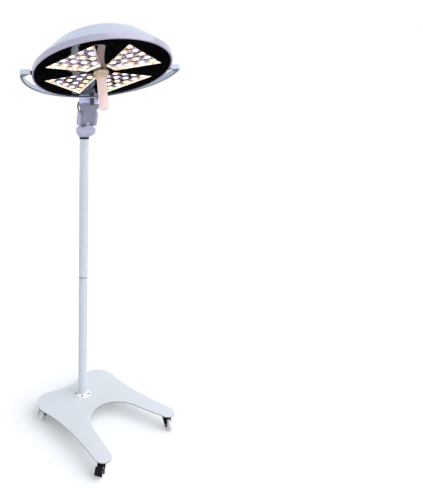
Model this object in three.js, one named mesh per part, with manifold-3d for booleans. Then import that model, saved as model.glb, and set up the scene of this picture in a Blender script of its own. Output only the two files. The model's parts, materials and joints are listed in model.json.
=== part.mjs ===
// Mobile surgical light: a round LED lamp head in a half-ring yoke, carried by a jointed
// knuckle at the top of a two-piece pole, on a flat base plate with four swivel castors.
// Millimetres, +Z up, z = 0 is the floor and the base's two legs point to -Y.
// The origin is the middle of the floor area that the whole light covers.

import * as THREE from 'three';
import { ConvexGeometry } from 'three/addons/geometries/ConvexGeometry.js';
import { mergeVertices } from 'three/addons/utils/BufferGeometryUtils.js';
import Module from 'manifold-3d';

const wasm = await Module();
wasm.setup();

const degrees = Math.PI / 180;

// ---------------------------------------------------------------- driving dimensions

const GAP = 0.3; // kept between parts that touch
const POLE_X = 84; // pole axis, from the middle of the floor area
const POLE_Y = 196.5;

// Base plate: rear lobes, two splayed front legs and a round bay between them.
const PLATE_TOP = 90;
const PLATE_THICK = 6;
const REAR_EDGE_Y = 97;
const LOBE = { x: 162, y: 38, r: 92 };
const LEG_TIP = { x: 228, y: -386, r: 41.5 };
const LEG_SPLAY = 16.5 * degrees;
const BAY = { y: -286, r: 149 };

// Pole, its foot flange and its joint.
const POLE_R = 21;
const POLE_BORE_R = 18.5;
const SPIGOT_R = 18.2;
const FLANGE_R = 42;
const FLANGE_THICK = 4.2;
const BOLT_COUNT = 5;
const BOLT_CIRCLE_R = 33.5;
const POLE_JOINT_Z = 767;
const POLE_TOP_Z = 1440;
const INLET_TURN = -42 * degrees;

// Castors.
const WHEEL_R = 28;
const WHEEL_WIDTH = 22;
const CASTOR_TRAIL = 25;
const CASTOR_AXLE_R = 4;
const CHEEK_INNER = 14;
const CHEEK_OUTER = 16.5;
const STEM_R = 5;
const STEM_HEAD = { r: 8, low: 67, high: 69.5 };
const CROWN = { r: 18, low: 72.2, high: 76.2 };
const AXLE_HEAD = { r: 6.5, height: 3 };
const WHEEL_HUB = { r: 11, half: 13 };
const CASTORS = [
  { name: 'front_left', x: -228, y: -386, heading: 118, brake: true },
  { name: 'front_right', x: 228, y: -386, heading: 166, brake: false },
  { name: 'rear_left', x: -202, y: 82, heading: 125, brake: false },
  { name: 'rear_right', x: 202, y: 82, heading: -30, brake: true },
];

// Knuckle: a swivel housing on the pole, then a tilting arm.
const ARM_TURN = -25 * degrees;
const HOUSING_BOTTOM = 1448.5;
const HOUSING_CREASE = 1468;
const HOUSING_SHOULDER = 1488;
const HOUSING_TOP = 1498;
const HOUSING_HALF = 33;
const HOUSING_FRONT = -70;
const HOUSING_BACK = 27;
const SWIVEL_R = 14;
const HINGE_Y = -38;
const HINGE_Z = 1518.5;
const HINGE_PIN_R = 5;
const HINGE_PIN_HALF = 34;
const ARM_LEAN = 18.4 * degrees;
const ARM_HALF = 30;
const ARM_TOP_HALF = 40;
const ARM_DEPTH_HALF = 20;
const LUG_HALF = 11;
const LUG_R = 14;
const SCREW_DROP = 14; // tension screw, below the hinge pin
const SCREW = { r: 3, shank: 12.5, headR: 5, end: 17 };
const COVER = { half: 18, top: 44, r: 14, thick: 12.7 };
const LEAD_R = 2.4;
const SHELF_Y = -60;
const SHELF_Z = 1591;
const SHELF_THICK = 8;
const STUB_R = 8;

// Yoke: a block that swivels on the arm, and a half ring that slopes up to the pivots.
const YOKE_TURN = -8.4 * degrees;
const YOKE_ROLL = -2.2 * degrees;
const YOKE_SLOPE = -14.13 * degrees;
const YOKE_R = 292;
const YOKE_THICK = 10;
const YOKE_HEIGHT = 18.5;
const YOKE_REACH = 290.4;
const YOKE_RISE = 106.2;
const BLOCK_HALF = 39.5;
const BLOCK_TOP = 35;
const BOSS_HALF = 13;
const KNOB = { x: 9, y: -39.3, r: 9.5, top: 21.5, shaftR: 3 };
const PIVOT_PIN_R = 4;

// Lamp head; z = 0 is the front of the face panel and +z goes up into the dome.
const HEAD_TILT = -17.4 * degrees;
const PIVOT_HEIGHT = 7;
const RIM_R = 250;
const PANEL_R = 241;
const PANEL_THICK = 4;
const BAND_TOP = 17;
const DOME_TOP = 133;
const DOME_WALL = 2.5;
const CHASSIS_Z = 14.6;

// LED windows: four truncated triangles round the handle, each with 5 + 4 + 3 + 2 lenses.
const WINDOW_TURN = 44 * degrees;
const WINDOW = { inner: 41, innerHalf: 30, outer: 185, outerHalf: 106 };
const LENS_ROWS = [5, 4, 3, 2];
const LENS_PITCH = 38;
const FIRST_ROW = 167;
const LENS_R = 13;
const LENS_Z = 5.5; // front of the lenses, set back in their windows
const CARRIER_Z = 10;

// Handle.
const HUB_R = 26.5;
const HUB_DEPTH = 21.5;
const HANDLE_R = 17.3;
const HANDLE_BORE_R = 12.6;
const HANDLE_END = 133;
const SPIGOT_END = 104;

// ---------------------------------------------------------------- geometry helpers

// Turns a closed geometry into a solid that can be joined and cut.
function toSolid(geometry) {
  const bare = geometry.index ? geometry.toNonIndexed() : geometry.clone();
  bare.deleteAttribute('normal');
  bare.deleteAttribute('uv');
  const merged = mergeVertices(bare, 1e-4);
  const triVerts = new Uint32Array(merged.index.array);
  const vertProperties = new Float32Array(merged.attributes.position.array);
  return new wasm.Manifold(new wasm.Mesh({ numProp: 3, vertProperties, triVerts }));
}

function toGeometry(solid) {
  const { vertProperties, triVerts } = solid.getMesh();
  const geometry = new THREE.BufferGeometry();
  geometry.setAttribute('position', new THREE.BufferAttribute(vertProperties, 3));
  geometry.setIndex(new THREE.BufferAttribute(triVerts, 1));
  geometry.computeVertexNormals();
  return geometry;
}

function join(first, ...others) {
  return toGeometry(others.reduce((solid, other) => solid.add(toSolid(other)), toSolid(first)));
}

function cut(body, ...tools) {
  return toGeometry(tools.reduce((solid, tool) => solid.subtract(toSolid(tool)), toSolid(body)));
}

function common(first, second) {
  return toGeometry(toSolid(first).intersect(toSolid(second)));
}

// A body turned about Z, from [radius, z] points that go up its outside.
function turned(points, segments) {
  const profile = points.map(([r, z]) => new THREE.Vector2(r, z));
  return new THREE.LatheGeometry(profile, segments).rotateX(Math.PI / 2);
}

// A ring of rectangular section about Z.
function ring(inner, outer, low, high, segments) {
  const section = [[inner, low], [outer, low], [outer, high], [inner, high], [inner, low]];
  return turned(section, segments);
}

function rod(radius, low, high, segments = 16) {
  return turned([[0, low], [radius, low], [radius, high], [0, high]], segments);
}

// A rod along X, and one along Y.
function rodX(radius, from, to, segments = 16) {
  return rod(radius, from, to, segments).rotateY(Math.PI / 2);
}

function rodY(radius, from, to, segments = 16) {
  return rod(radius, -to, -from, segments).rotateX(Math.PI / 2);
}

function box(low, high) {
  const size = low.map((value, axis) => high[axis] - value);
  const middle = low.map((value, axis) => (high[axis] + value) / 2);
  return new THREE.BoxGeometry(...size).translate(...middle);
}

// A flat outline raised along Z between two heights, with its edges broken by a bevel.
function slab(outline, low, high, bevel = 0, curveSegments = 8) {
  const options = {
    depth: high - low - 2 * bevel,
    bevelEnabled: bevel > 0,
    bevelThickness: bevel,
    bevelSize: bevel,
    bevelOffset: -bevel,
    bevelSegments: 1,
    curveSegments,
  };
  return new THREE.ExtrudeGeometry(outline, options).translate(0, 0, low + bevel);
}

// A flat outline of Y and Z points with its thickness along X.
function sideways(outline, from, to, bevel = 0, curveSegments = 8) {
  const body = slab(outline, from, to, bevel, curveSegments);
  return body.rotateX(Math.PI / 2).rotateZ(Math.PI / 2);
}

function roundedRectangle(left, bottom, right, top, radius) {
  const outline = new THREE.Shape();
  outline.moveTo(left + radius, bottom);
  outline.absarc(right - radius, bottom + radius, radius, -Math.PI / 2, 0);
  outline.absarc(right - radius, top - radius, radius, 0, Math.PI / 2);
  outline.absarc(left + radius, top - radius, radius, Math.PI / 2, Math.PI);
  outline.absarc(left + radius, bottom + radius, radius, Math.PI, 1.5 * Math.PI);
  return outline;
}

// A round cable along a smooth curve through the given points.
function cable(points, radius, steps) {
  const path = new THREE.CatmullRomCurve3(points.map((point) => new THREE.Vector3(...point)));
  const section = new THREE.Shape().absarc(0, 0, radius, 0, 2 * Math.PI);
  return new THREE.ExtrudeGeometry(section, { extrudePath: path, steps, curveSegments: 4 });
}

// ---------------------------------------------------------------- scene helpers

const FINISHES = {
  base_paint: [0xdde3ea, 0.45, 0],
  pole_paint: [0xcbd5de, 0.35, 0],
  knuckle_paint: [0xb9b9cc, 0.45, 0],
  arm_paint: [0x8f8d9e, 0.5, 0],
  yoke_paint: [0xc4d0de, 0.35, 0],
  dome_gloss: [0xd9dcec, 0.2, 0],
  band_gloss: [0xb4adc0, 0.25, 0],
  panel_black: [0x050507, 0.08, 0],
  board_white: [0xf2ecdc, 0.5, 0],
  lens_clear: [0xfffaf0, 0.1, 0],
  handle_white: [0xf2d9d8, 0.45, 0],
  hub_cream: [0xd8bfa0, 0.45, 0],
  black_plastic: [0x101012, 0.5, 0],
  grey_plastic: [0x5a5c60, 0.5, 0],
  tyre: [0xd6d7d9, 0.7, 0],
  rubber: [0x14161f, 0.8, 0],
  steel: [0xb8bbbf, 0.3, 1],
  aluminium: [0xb5b8bb, 0.4, 1],
};

function addPart(parent, name, geometry, finish) {
  const [color, roughness, metalness] = FINISHES[finish];
  const mesh = new THREE.Mesh(geometry, new THREE.MeshStandardMaterial({ color, roughness, metalness }));
  mesh.name = name;
  parent.add(mesh);
  return mesh;
}

function addGroup(parent, x, y, z) {
  const group = new THREE.Group();
  group.position.set(x, y, z);
  parent.add(group);
  return group;
}

// ---------------------------------------------------------------- base

// Right half of the plate's edge from the rear middle to the bay's top, then the left half.
function baseOutline() {
  const at = (circle, angle) => [
    circle.x + circle.r * Math.cos(angle),
    circle.y + circle.r * Math.sin(angle),
  ];
  const lobeStart = 105 * degrees;
  const lobeEnd = -12 * degrees;
  const tipStart = 12 * degrees;
  const tipEnd = -Math.PI + LEG_SPLAY;
  const [startX, startY] = at(LOBE, lobeStart);
  const [waistX, waistY] = at(LOBE, lobeEnd);
  const [legX, legY] = at(LEG_TIP, tipStart);
  const outline = new THREE.Shape();
  outline.moveTo(0, REAR_EDGE_Y);
  outline.bezierCurveTo(45, REAR_EDGE_Y, startX - 46, startY - 12, startX, startY);
  outline.absarc(LOBE.x, LOBE.y, LOBE.r, lobeStart, lobeEnd, true);
  outline.bezierCurveTo(waistX - 25, waistY - 117, legX - 29, legY + 137, legX, legY);
  outline.absarc(LEG_TIP.x, LEG_TIP.y, LEG_TIP.r, tipStart, tipEnd, true);
  outline.absarc(0, BAY.y, BAY.r, LEG_SPLAY, Math.PI - LEG_SPLAY, false);
  outline.absarc(-LEG_TIP.x, LEG_TIP.y, LEG_TIP.r, -LEG_SPLAY, -Math.PI - tipStart, true);
  outline.bezierCurveTo(29 - legX, legY + 137, 25 - waistX, waistY - 117, -waistX, waistY);
  outline.absarc(-LOBE.x, LOBE.y, LOBE.r, Math.PI - lobeEnd, Math.PI - lobeStart, true);
  outline.bezierCurveTo(46 - startX, startY - 12, -45, REAR_EDGE_Y, 0, REAR_EDGE_Y);
  return outline;
}

function boltPlaces() {
  return Array.from({ length: BOLT_COUNT }, (_, index) => {
    // One bolt faces the lamp's usual working side.
    const angle = (index * 360 / BOLT_COUNT - 132) * degrees;
    return [BOLT_CIRCLE_R * Math.cos(angle), BOLT_CIRCLE_R * Math.sin(angle)];
  });
}

function addBase(light) {
  const boltR = 3;
  const top = PLATE_TOP + GAP;
  const flangeTop = top + FLANGE_THICK;
  const boltHoles = (low, high) => boltPlaces().map(
    ([x, y]) => rod(boltR + 0.4, low, high, 8).translate(x, y, 0),
  );
  const plate = slab(baseOutline(), PLATE_TOP - PLATE_THICK, PLATE_TOP, 1, 6);
  addPart(light, 'base_plate', cut(plate, ...boltHoles(0, 200)), 'base_paint');

  const flange = turned([
    [8, top], [FLANGE_R, top], [FLANGE_R, flangeTop - 0.8], [FLANGE_R - 0.8, flangeTop],
    [SPIGOT_R, flangeTop], [SPIGOT_R, flangeTop + 36], [8, flangeTop + 36], [8, top],
  ], 24);
  addPart(light, 'pole_flange', cut(flange, ...boltHoles(0, 200)), 'pole_paint');

  boltPlaces().forEach(([x, y], index) => {
    const head = flangeTop + GAP;
    const bolt = turned([
      [0, PLATE_TOP - PLATE_THICK], [boltR, PLATE_TOP - PLATE_THICK], [boltR, head],
      [5, head], [5, head + 2.2], [3.6, head + 3.4], [0, head + 3.4],
    ], 8);
    addPart(light, `flange_bolt_${index + 1}`, bolt.translate(x, y, 0), 'steel');
  });
}

// A cheek of the castor's fork: a plate that narrows from the top disc to the axle.
function castorCheek(side) {
  const outline = new THREE.Shape();
  outline.moveTo(-15, 75);
  outline.lineTo(-15, 64);
  outline.lineTo(CASTOR_TRAIL - 9, WHEEL_R - 2);
  outline.absarc(CASTOR_TRAIL, WHEEL_R, 9, Math.PI * 1.1, Math.PI * 2.02, false);
  outline.lineTo(19, 66);
  outline.lineTo(15, 75);
  const cheek = sideways(outline, 0, CHEEK_OUTER - CHEEK_INNER, 0, 4);
  return cheek.translate(side > 0 ? CHEEK_INNER : -CHEEK_OUTER, 0, 0);
}

function addCastor(light, { name, x, y, heading, brake }) {
  const castor = addGroup(light, x, y, 0);
  castor.rotation.z = heading * degrees;
  const top = PLATE_TOP - PLATE_THICK - GAP;

  // The stem's head, the stem, a bearing cup over the fork and the top plate.
  const cup = CROWN.high + 0.4;
  const plate = turned([
    [0, STEM_HEAD.low], [STEM_HEAD.r, STEM_HEAD.low], [STEM_HEAD.r, STEM_HEAD.high],
    [STEM_R, STEM_HEAD.high], [STEM_R, cup], [16, cup], [18, cup + 4], [26, cup + 4],
    [26, top], [0, top],
  ], 12);
  addPart(castor, `castor_${name}_plate`, plate, 'steel');

  const crown = rod(CROWN.r, CROWN.low, CROWN.high, 14);
  const axleHole = rodX(CASTOR_AXLE_R + 0.4, -30, 30, 8).translate(0, CASTOR_TRAIL, WHEEL_R);
  const stemHole = join(
    rod(STEM_R + 0.5, 60, 90, 8),
    rod(STEM_HEAD.r + 0.6, 50, STEM_HEAD.high + 0.7, 12),
  );
  const sides = [castorCheek(1), castorCheek(-1)];
  // A castor with no brake has a closed bridge over its wheel.
  const bridge = brake ? [] : [box([-CHEEK_INNER, -15, 58.5], [CHEEK_INNER, 24, 75])];
  const fork = cut(join(crown, ...sides, ...bridge), axleHole, stemHole);
  addPart(castor, `castor_${name}_fork`, fork, 'black_plastic');

  const half = WHEEL_WIDTH / 2;
  const bore = CASTOR_AXLE_R + GAP;
  const wheel = turned([
    [bore, -WHEEL_HUB.half], [WHEEL_HUB.r, -WHEEL_HUB.half], [WHEEL_HUB.r, -half],
    [WHEEL_R - 3, -half], [WHEEL_R, 3 - half], [WHEEL_R, half - 3], [WHEEL_R - 3, half],
    [WHEEL_HUB.r, half], [WHEEL_HUB.r, WHEEL_HUB.half], [bore, WHEEL_HUB.half],
    [bore, -WHEEL_HUB.half],
  ], 16);
  wheel.rotateY(Math.PI / 2).translate(0, CASTOR_TRAIL, WHEEL_R);
  addPart(castor, `castor_${name}_wheel`, wheel, 'tyre');

  const head = CHEEK_OUTER + GAP;
  const end = head + AXLE_HEAD.height;
  const axle = turned([
    [0, -end], [AXLE_HEAD.r, -end], [AXLE_HEAD.r, -head], [CASTOR_AXLE_R, -head],
    [CASTOR_AXLE_R, head], [AXLE_HEAD.r, head], [AXLE_HEAD.r, end], [0, end],
  ], 8);
  axle.rotateY(Math.PI / 2).translate(0, CASTOR_TRAIL, WHEEL_R);
  addPart(castor, `castor_${name}_axle`, axle, 'steel');

  if (brake) {
    // A tongue between the cheeks and a wider hood that follows the wheel down.
    const tongue = new THREE.Shape();
    tongue.moveTo(8, 59);
    tongue.lineTo(42, 56.5);
    tongue.lineTo(42, 60.5);
    tongue.lineTo(8, 66);
    tongue.absarc(8, 62.5, 3.5, Math.PI / 2, Math.PI * 1.5, false);
    const hood = new THREE.Shape();
    hood.absarc(CASTOR_TRAIL, WHEEL_R, WHEEL_R + 9.5, 65 * degrees, 8 * degrees, true);
    hood.absarc(CASTOR_TRAIL, WHEEL_R, WHEEL_R + 6, 8 * degrees, 65 * degrees, false);
    const pedal = join(sideways(tongue, -12, 12, 0, 2), sideways(hood, -17.5, 17.5, 0, 3));
    addPart(castor, `castor_${name}_brake`, pedal, 'black_plastic');
  }
}

// ---------------------------------------------------------------- pole

function addPole(light) {
  const foot = PLATE_TOP + 2 * GAP + FLANGE_THICK;
  const lower = ring(POLE_BORE_R, POLE_R, foot, POLE_JOINT_Z, 32);
  addPart(light, 'lower_pole', lower, 'pole_paint');

  const collarTop = POLE_JOINT_Z + GAP + 3;
  const collar = ring(POLE_BORE_R, POLE_R - 0.6, POLE_JOINT_Z + GAP, collarTop, 32);
  addPart(light, 'pole_joint_ring', collar, 'rubber');

  const stud = ring(12, SPIGOT_R, POLE_JOINT_Z - 40, POLE_JOINT_Z + 44, 24);
  addPart(light, 'pole_joint_stud', stud, 'steel');

  const upper = ring(POLE_BORE_R, POLE_R, collarTop + GAP, POLE_TOP_Z, 32);
  addPart(light, 'upper_pole', upper, 'pole_paint');

  const capTop = HOUSING_BOTTOM - GAP;
  const spigot = turned([
    [8, POLE_TOP_Z - 36], [SPIGOT_R, POLE_TOP_Z - 36], [SPIGOT_R, POLE_TOP_Z + GAP],
    [POLE_R + 1, POLE_TOP_Z + GAP], [POLE_R + 1, capTop], [SWIVEL_R, capTop],
    [SWIVEL_R, HOUSING_TOP - 16], [8, HOUSING_TOP - 16], [8, POLE_TOP_Z - 36],
  ], 20);
  addPart(light, 'swivel_spigot', spigot, 'rubber');

  // Power socket low on the back of the pole, shaped to sit against the tube.
  const socket = cut(
    slab(roundedRectangle(-11, -14, 11, 14, 5), 14, 32, 1, 2).rotateX(-Math.PI / 2),
    rod(POLE_R + GAP, -50, 50, 32),
    rodY(7.5, 26, 40, 12),
  );
  addPart(light, 'power_inlet', socket.translate(0, 0, 150).rotateZ(INLET_TURN), 'grey_plastic');
}

// ---------------------------------------------------------------- knuckle

// Corner points of an outline at a height.
function level(outline, z, curveSegments) {
  return outline.getPoints(curveSegments).map(({ x, y }) => new THREE.Vector3(x, y, z));
}

// Rises from a round foot over the pole to a long box, whose top narrows to a flat.
function housingBody() {
  const outline = (inset, radius) => roundedRectangle(
    inset - HOUSING_HALF, HOUSING_FRONT, HOUSING_HALF - inset, HOUSING_BACK, radius,
  );
  const foot = new THREE.Shape().absarc(0, 0, POLE_R + 2, 0, 2 * Math.PI);
  return new ConvexGeometry([
    ...level(foot, HOUSING_BOTTOM, 12),
    ...level(outline(0, 12), HOUSING_CREASE, 2),
    ...level(outline(0, 12), HOUSING_SHOULDER, 2),
    ...level(outline(13, 6), HOUSING_TOP, 2),
  ]);
}

function addHousing(knuckle) {
  // The lug that carries the hinge pin, seen from the side.
  const profile = new THREE.Shape();
  profile.moveTo(HINGE_Y - LUG_R, HOUSING_TOP - 10);
  profile.lineTo(HINGE_Y + LUG_R, HOUSING_TOP - 10);
  profile.absarc(HINGE_Y, HINGE_Z, LUG_R, 0, Math.PI, false);
  const lug = sideways(profile, -LUG_HALF, LUG_HALF, 0, 6);

  const housing = cut(
    join(housingBody(), lug),
    rod(SWIVEL_R + 0.5, HOUSING_BOTTOM - 10, HOUSING_TOP - 14, 20),
    rodX(HINGE_PIN_R + GAP, -60, 60).translate(0, HINGE_Y, HINGE_Z),
    rodY(SCREW.r + 0.4, HINGE_Y - 30, HINGE_Y, 8).translate(0, 0, HINGE_Z - SCREW_DROP),
  );
  addPart(knuckle, 'swivel_housing', housing, 'knuckle_paint');

  // It runs under the hinge pin to the middle of the lug, and its head looks to the front.
  const screw = turned([
    [0, 0], [SCREW.r, 0], [SCREW.r, SCREW.shank], [SCREW.headR, SCREW.shank],
    [SCREW.headR, SCREW.end - 1], [SCREW.headR - 1.1, SCREW.end], [0, SCREW.end],
  ], 8);
  const screwY = HINGE_Y - LUG_R - GAP + SCREW.shank;
  screw.rotateX(Math.PI / 2).translate(0, screwY, HINGE_Z - SCREW_DROP);
  addPart(knuckle, 'tension_screw', screw, 'steel');
}

function addArm(knuckle) {
  const pin = rodX(HINGE_PIN_R, -HINGE_PIN_HALF, HINGE_PIN_HALF).translate(0, HINGE_Y, HINGE_Z);
  addPart(knuckle, 'arm_hinge_pin', pin, 'steel');

  // Front view: narrow between the side covers, flared at the top.
  const front = new THREE.Shape();
  front.moveTo(-ARM_HALF, -25);
  front.lineTo(ARM_HALF, -25);
  front.lineTo(ARM_HALF, 41);
  front.quadraticCurveTo(ARM_HALF + 2, 58, ARM_TOP_HALF, 64);
  front.lineTo(ARM_TOP_HALF, 80);
  front.lineTo(-ARM_TOP_HALF, 80);
  front.lineTo(-ARM_TOP_HALF, 64);
  front.quadraticCurveTo(-ARM_HALF - 2, 58, -ARM_HALF, 41);
  // Side view: round at the hinge.
  const side = new THREE.Shape();
  side.moveTo(ARM_DEPTH_HALF, 90);
  side.lineTo(-ARM_DEPTH_HALF, 90);
  side.absarc(0, 0, ARM_DEPTH_HALF, Math.PI, 2 * Math.PI, false);
  const depth = ARM_DEPTH_HALF + 10;
  const leaning = common(
    slab(front, -depth, depth, 0, 3).rotateX(Math.PI / 2),
    sideways(side, -60, 60, 0, 6),
  );
  leaning.rotateX(ARM_LEAN).translate(0, HINGE_Y, HINGE_Z);

  const shelfOutline = roundedRectangle(-ARM_TOP_HALF, SHELF_Y - 25, ARM_TOP_HALF, SHELF_Y + 25, 6);
  const shelf = slab(shelfOutline, SHELF_Z - SHELF_THICK, SHELF_Z, 1, 2);
  // Open below the hinge, and hollow round the lug above it.
  const lugSlot = LUG_HALF + 0.4;
  const slot = box([-lugSlot, -60, -40], [lugSlot, 60, 5]);
  slot.rotateX(ARM_LEAN).translate(0, HINGE_Y, HINGE_Z);
  const hollow = rodX(LUG_R + 0.8, -lugSlot, lugSlot, 32).translate(0, HINGE_Y, HINGE_Z);
  const topCut = box([-100, -200, SHELF_Z], [100, 100, SHELF_Z + 50]);
  const arm = cut(
    join(leaning, shelf),
    slot,
    hollow,
    topCut,
    rodX(HINGE_PIN_R + GAP, -60, 60).translate(0, HINGE_Y, HINGE_Z),
    rod(STUB_R + 1, SHELF_Z - 18, SHELF_Z + 10, 14).translate(0, SHELF_Y, 0),
  );
  addPart(knuckle, 'arm_body', arm, 'arm_paint');

  // Side covers hide the pin's ends.
  for (const [name, sign] of [['left', -1], ['right', 1]]) {
    const outline = roundedRectangle(-COVER.half, -COVER.half, COVER.half, COVER.top, COVER.r);
    const near = ARM_HALF + GAP;
    const faces = [sign * near, sign * (near + COVER.thick)].sort((a, b) => a - b);
    const cover = sideways(outline, ...faces, 2.5, 2);
    cover.rotateX(ARM_LEAN).translate(0, HINGE_Y, HINGE_Z);
    const boreEnd = HINGE_PIN_HALF + 0.5;
    const bore = rodX(HINGE_PIN_R + GAP, -boreEnd, boreEnd).translate(0, HINGE_Y, HINGE_Z);
    addPart(knuckle, `arm_cover_${name}`, cut(cover, bore), 'knuckle_paint');
  }

  // Short lead that loops from the arm's left cover into the yoke block.
  const loop = [
    [-40.5, -51.5, -29], [-44.5, -52.5, -20], [-46.5, -54, -9], [-45.5, -55.5, 2], [-43, -56.5, 9],
  ];
  const lead = cable(loop, LEAD_R, 8).translate(0, 0, SHELF_Z);
  addPart(knuckle, 'arm_lead', lead, 'rubber');
}

// ---------------------------------------------------------------- yoke

// Plan of the half ring with a square boss turned in at each end.
function yokeOutline(grow) {
  const outer = YOKE_R + grow;
  const inner = YOKE_R - YOKE_THICK - grow;
  const bossEnd = RIM_R + 5 - grow;
  const boss = BOSS_HALF + grow;
  const outerStart = Math.asin(6 / outer);
  const innerStart = Math.asin(boss / inner);
  const outline = new THREE.Shape();
  outline.moveTo(bossEnd, -boss);
  outline.lineTo(outer - 8, -boss);
  outline.quadraticCurveTo(outer, -boss, outer * Math.cos(outerStart), 6);
  outline.absarc(0, 0, outer, outerStart, Math.PI - outerStart, false);
  outline.quadraticCurveTo(-outer, -boss, 8 - outer, -boss);
  outline.lineTo(-bossEnd, -boss);
  outline.lineTo(-bossEnd, boss);
  outline.absarc(0, 0, inner, Math.PI - innerStart, innerStart, true);
  outline.lineTo(bossEnd, boss);
  return outline;
}

function yokeBody(grow, bevel) {
  const half = YOKE_HEIGHT / 2 + grow;
  return slab(yokeOutline(grow), -half, half, bevel, 14);
}

function addYoke(yoke) {
  const pinHoles = [-1, 1].map((sign) => {
    const ends = [sign * 240, sign * 286].sort((a, b) => a - b);
    return rodX(PIVOT_PIN_R + GAP, ...ends);
  });
  const arch = addGroup(yoke, 0, -YOKE_REACH, YOKE_RISE);
  arch.rotation.x = YOKE_SLOPE;
  addPart(arch, 'yoke_ring', cut(yokeBody(0, 1.5), ...pinHoles), 'yoke_paint');

  // Block with a groove for the ring, a stub into the arm and a lip for the dimmer knob.
  const seat = yokeBody(GAP, 0).rotateX(YOKE_SLOPE).translate(0, -YOKE_REACH, YOKE_RISE);
  const bottom = 1.8;
  const outline = roundedRectangle(-BLOCK_HALF, -25, BLOCK_HALF, 25, 5);
  const block = slab(outline, bottom, BLOCK_TOP, 2, 2);
  const stub = rod(STUB_R, -15, bottom + 5, 14);
  const lipBottom = KNOB.top + 0.5;
  const lipOutline = roundedRectangle(KNOB.x - 12, KNOB.y - 10.5, KNOB.x + 12, -15, 5);
  const lip = slab(lipOutline, lipBottom, lipBottom + 11, 1, 2);
  const knobHole = rod(KNOB.shaftR + 0.4, 10, 30, 10).translate(KNOB.x, KNOB.y, 0);
  addPart(yoke, 'yoke_block', cut(join(block, stub, lip), seat, knobHole), 'yoke_paint');

  const knob = turned([
    [0, -6], [KNOB.r - 1.2, -6], [KNOB.r, -4.5], [KNOB.r, KNOB.top - 2], [KNOB.r - 1, KNOB.top],
    [KNOB.shaftR, KNOB.top], [KNOB.shaftR, KNOB.top + 8], [0, KNOB.top + 8],
  ], 14);
  addPart(yoke, 'dimmer_knob', knob.translate(KNOB.x, KNOB.y, 0), 'grey_plastic');

  // Short lead from the block's front into the inside of the ring.
  const lead = [
    [33, -25.6, 18], [33.5, -33, 19], [34, -38, 27], [34.5, -36, 36], [35, -28, 40.5],
    [35, -19.5, 40.5],
  ];
  addPart(yoke, 'head_lead', cable(lead, LEAD_R, 10), 'rubber');
}

// ---------------------------------------------------------------- lamp head

// Truncated triangle round a window, pointing along +Y before it is turned into place.
function windowOutline(grow) {
  const lean = (WINDOW.outerHalf - WINDOW.innerHalf) / (WINDOW.outer - WINDOW.inner);
  const sideGrow = grow * (Math.hypot(1, lean) + lean);
  const near = WINDOW.inner - grow;
  const far = WINDOW.outer + grow;
  const nearHalf = WINDOW.innerHalf + sideGrow - 2 * lean * grow;
  const farHalf = WINDOW.outerHalf + sideGrow;
  return [[-nearHalf, near], [nearHalf, near], [farHalf, far], [-farHalf, far]];
}

function turnedOutline(points, angle) {
  const centre = new THREE.Vector2();
  return points.map(([x, y]) => new THREE.Vector2(x, y).rotateAround(centre, angle));
}

const windowAngle = (index) => WINDOW_TURN + (index - 1) * Math.PI / 2;

function lensPlaces() {
  const rowStep = LENS_PITCH * Math.sin(60 * degrees) * 1.03;
  return LENS_ROWS.flatMap((count, row) => Array.from({ length: count }, (_, index) => [
    (index - (count - 1) / 2) * LENS_PITCH,
    FIRST_ROW - row * rowStep,
  ]));
}

function domeProfile(inset) {
  const outside = new THREE.SplineCurve([
    new THREE.Vector2(248.5, BAND_TOP + GAP),
    new THREE.Vector2(231, 36),
    new THREE.Vector2(209, 54.5),
    new THREE.Vector2(172, 86),
    new THREE.Vector2(115, 114.5),
    new THREE.Vector2(58, 128.5),
    new THREE.Vector2(0, DOME_TOP),
  ]);
  const steps = 7;
  return Array.from({ length: steps + 1 }, (_, index) => {
    const point = outside.getPoint(index / steps);
    const slope = outside.getTangent(index / steps);
    // The rim's edge is cut level and the top stays on the axis.
    if (index === 0) return [point.x - 1.4 * inset, point.y];
    if (index === steps) return [0, point.y - inset];
    return [point.x - inset * slope.y, point.y + inset * slope.x];
  });
}

function addLampShell(head) {
  const dome = turned([...domeProfile(0), ...domeProfile(DOME_WALL).reverse(), domeProfile(0)[0]], 48);
  addPart(head, 'dome_shell', dome, 'dome_gloss');

  const band = turned([
    [PANEL_R + 3.5, -2], [RIM_R - 1.5, -2], [RIM_R, -0.5], [RIM_R, BAND_TOP],
    [RIM_R - 3, BAND_TOP], [RIM_R - 3, 1.5], [PANEL_R + 3.5, 1.5], [PANEL_R + 3.5, -2],
  ], 48);
  const pinHoles = rodX(PIVOT_PIN_R + GAP, -300, 300).translate(0, 0, PIVOT_HEIGHT);
  addPart(head, 'rim_band', cut(band, pinHoles), 'band_gloss');
  addPart(head, 'rim_gasket', ring(PANEL_R + GAP, PANEL_R + 3.2, -0.8, PANEL_THICK, 48), 'rubber');

  addPart(head, 'chassis_plate', ring(20, 234, CHASSIS_Z, CHASSIS_Z + 2.5, 32), 'aluminium');

  const driver = slab(roundedRectangle(-60, 30, 60, 105, 6), CHASSIS_Z + 2.8, CHASSIS_Z + 32, 1, 2);
  addPart(head, 'led_driver', driver, 'aluminium');

  for (const [name, sign] of [['left', -1], ['right', 1]]) {
    // A flange inside the rim band, a collar outside it and a journal in the yoke's boss.
    const flange = [RIM_R - 5.4, RIM_R - 3.9];
    const collar = [RIM_R + 0.4, RIM_R + 4.6];
    const pin = turned([
      [0, flange[0]], [5.2, flange[0]], [5.2, flange[1]], [PIVOT_PIN_R, flange[1]],
      [PIVOT_PIN_R, collar[0]], [8, collar[0]], [8, collar[1]], [PIVOT_PIN_R, collar[1]],
      [PIVOT_PIN_R, YOKE_R - 8], [0, YOKE_R - 8],
    ], 12);
    pin.rotateY(sign * Math.PI / 2).translate(0, 0, PIVOT_HEIGHT);
    addPart(head, `pivot_pin_${name}`, pin, 'steel');
  }
}

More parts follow.
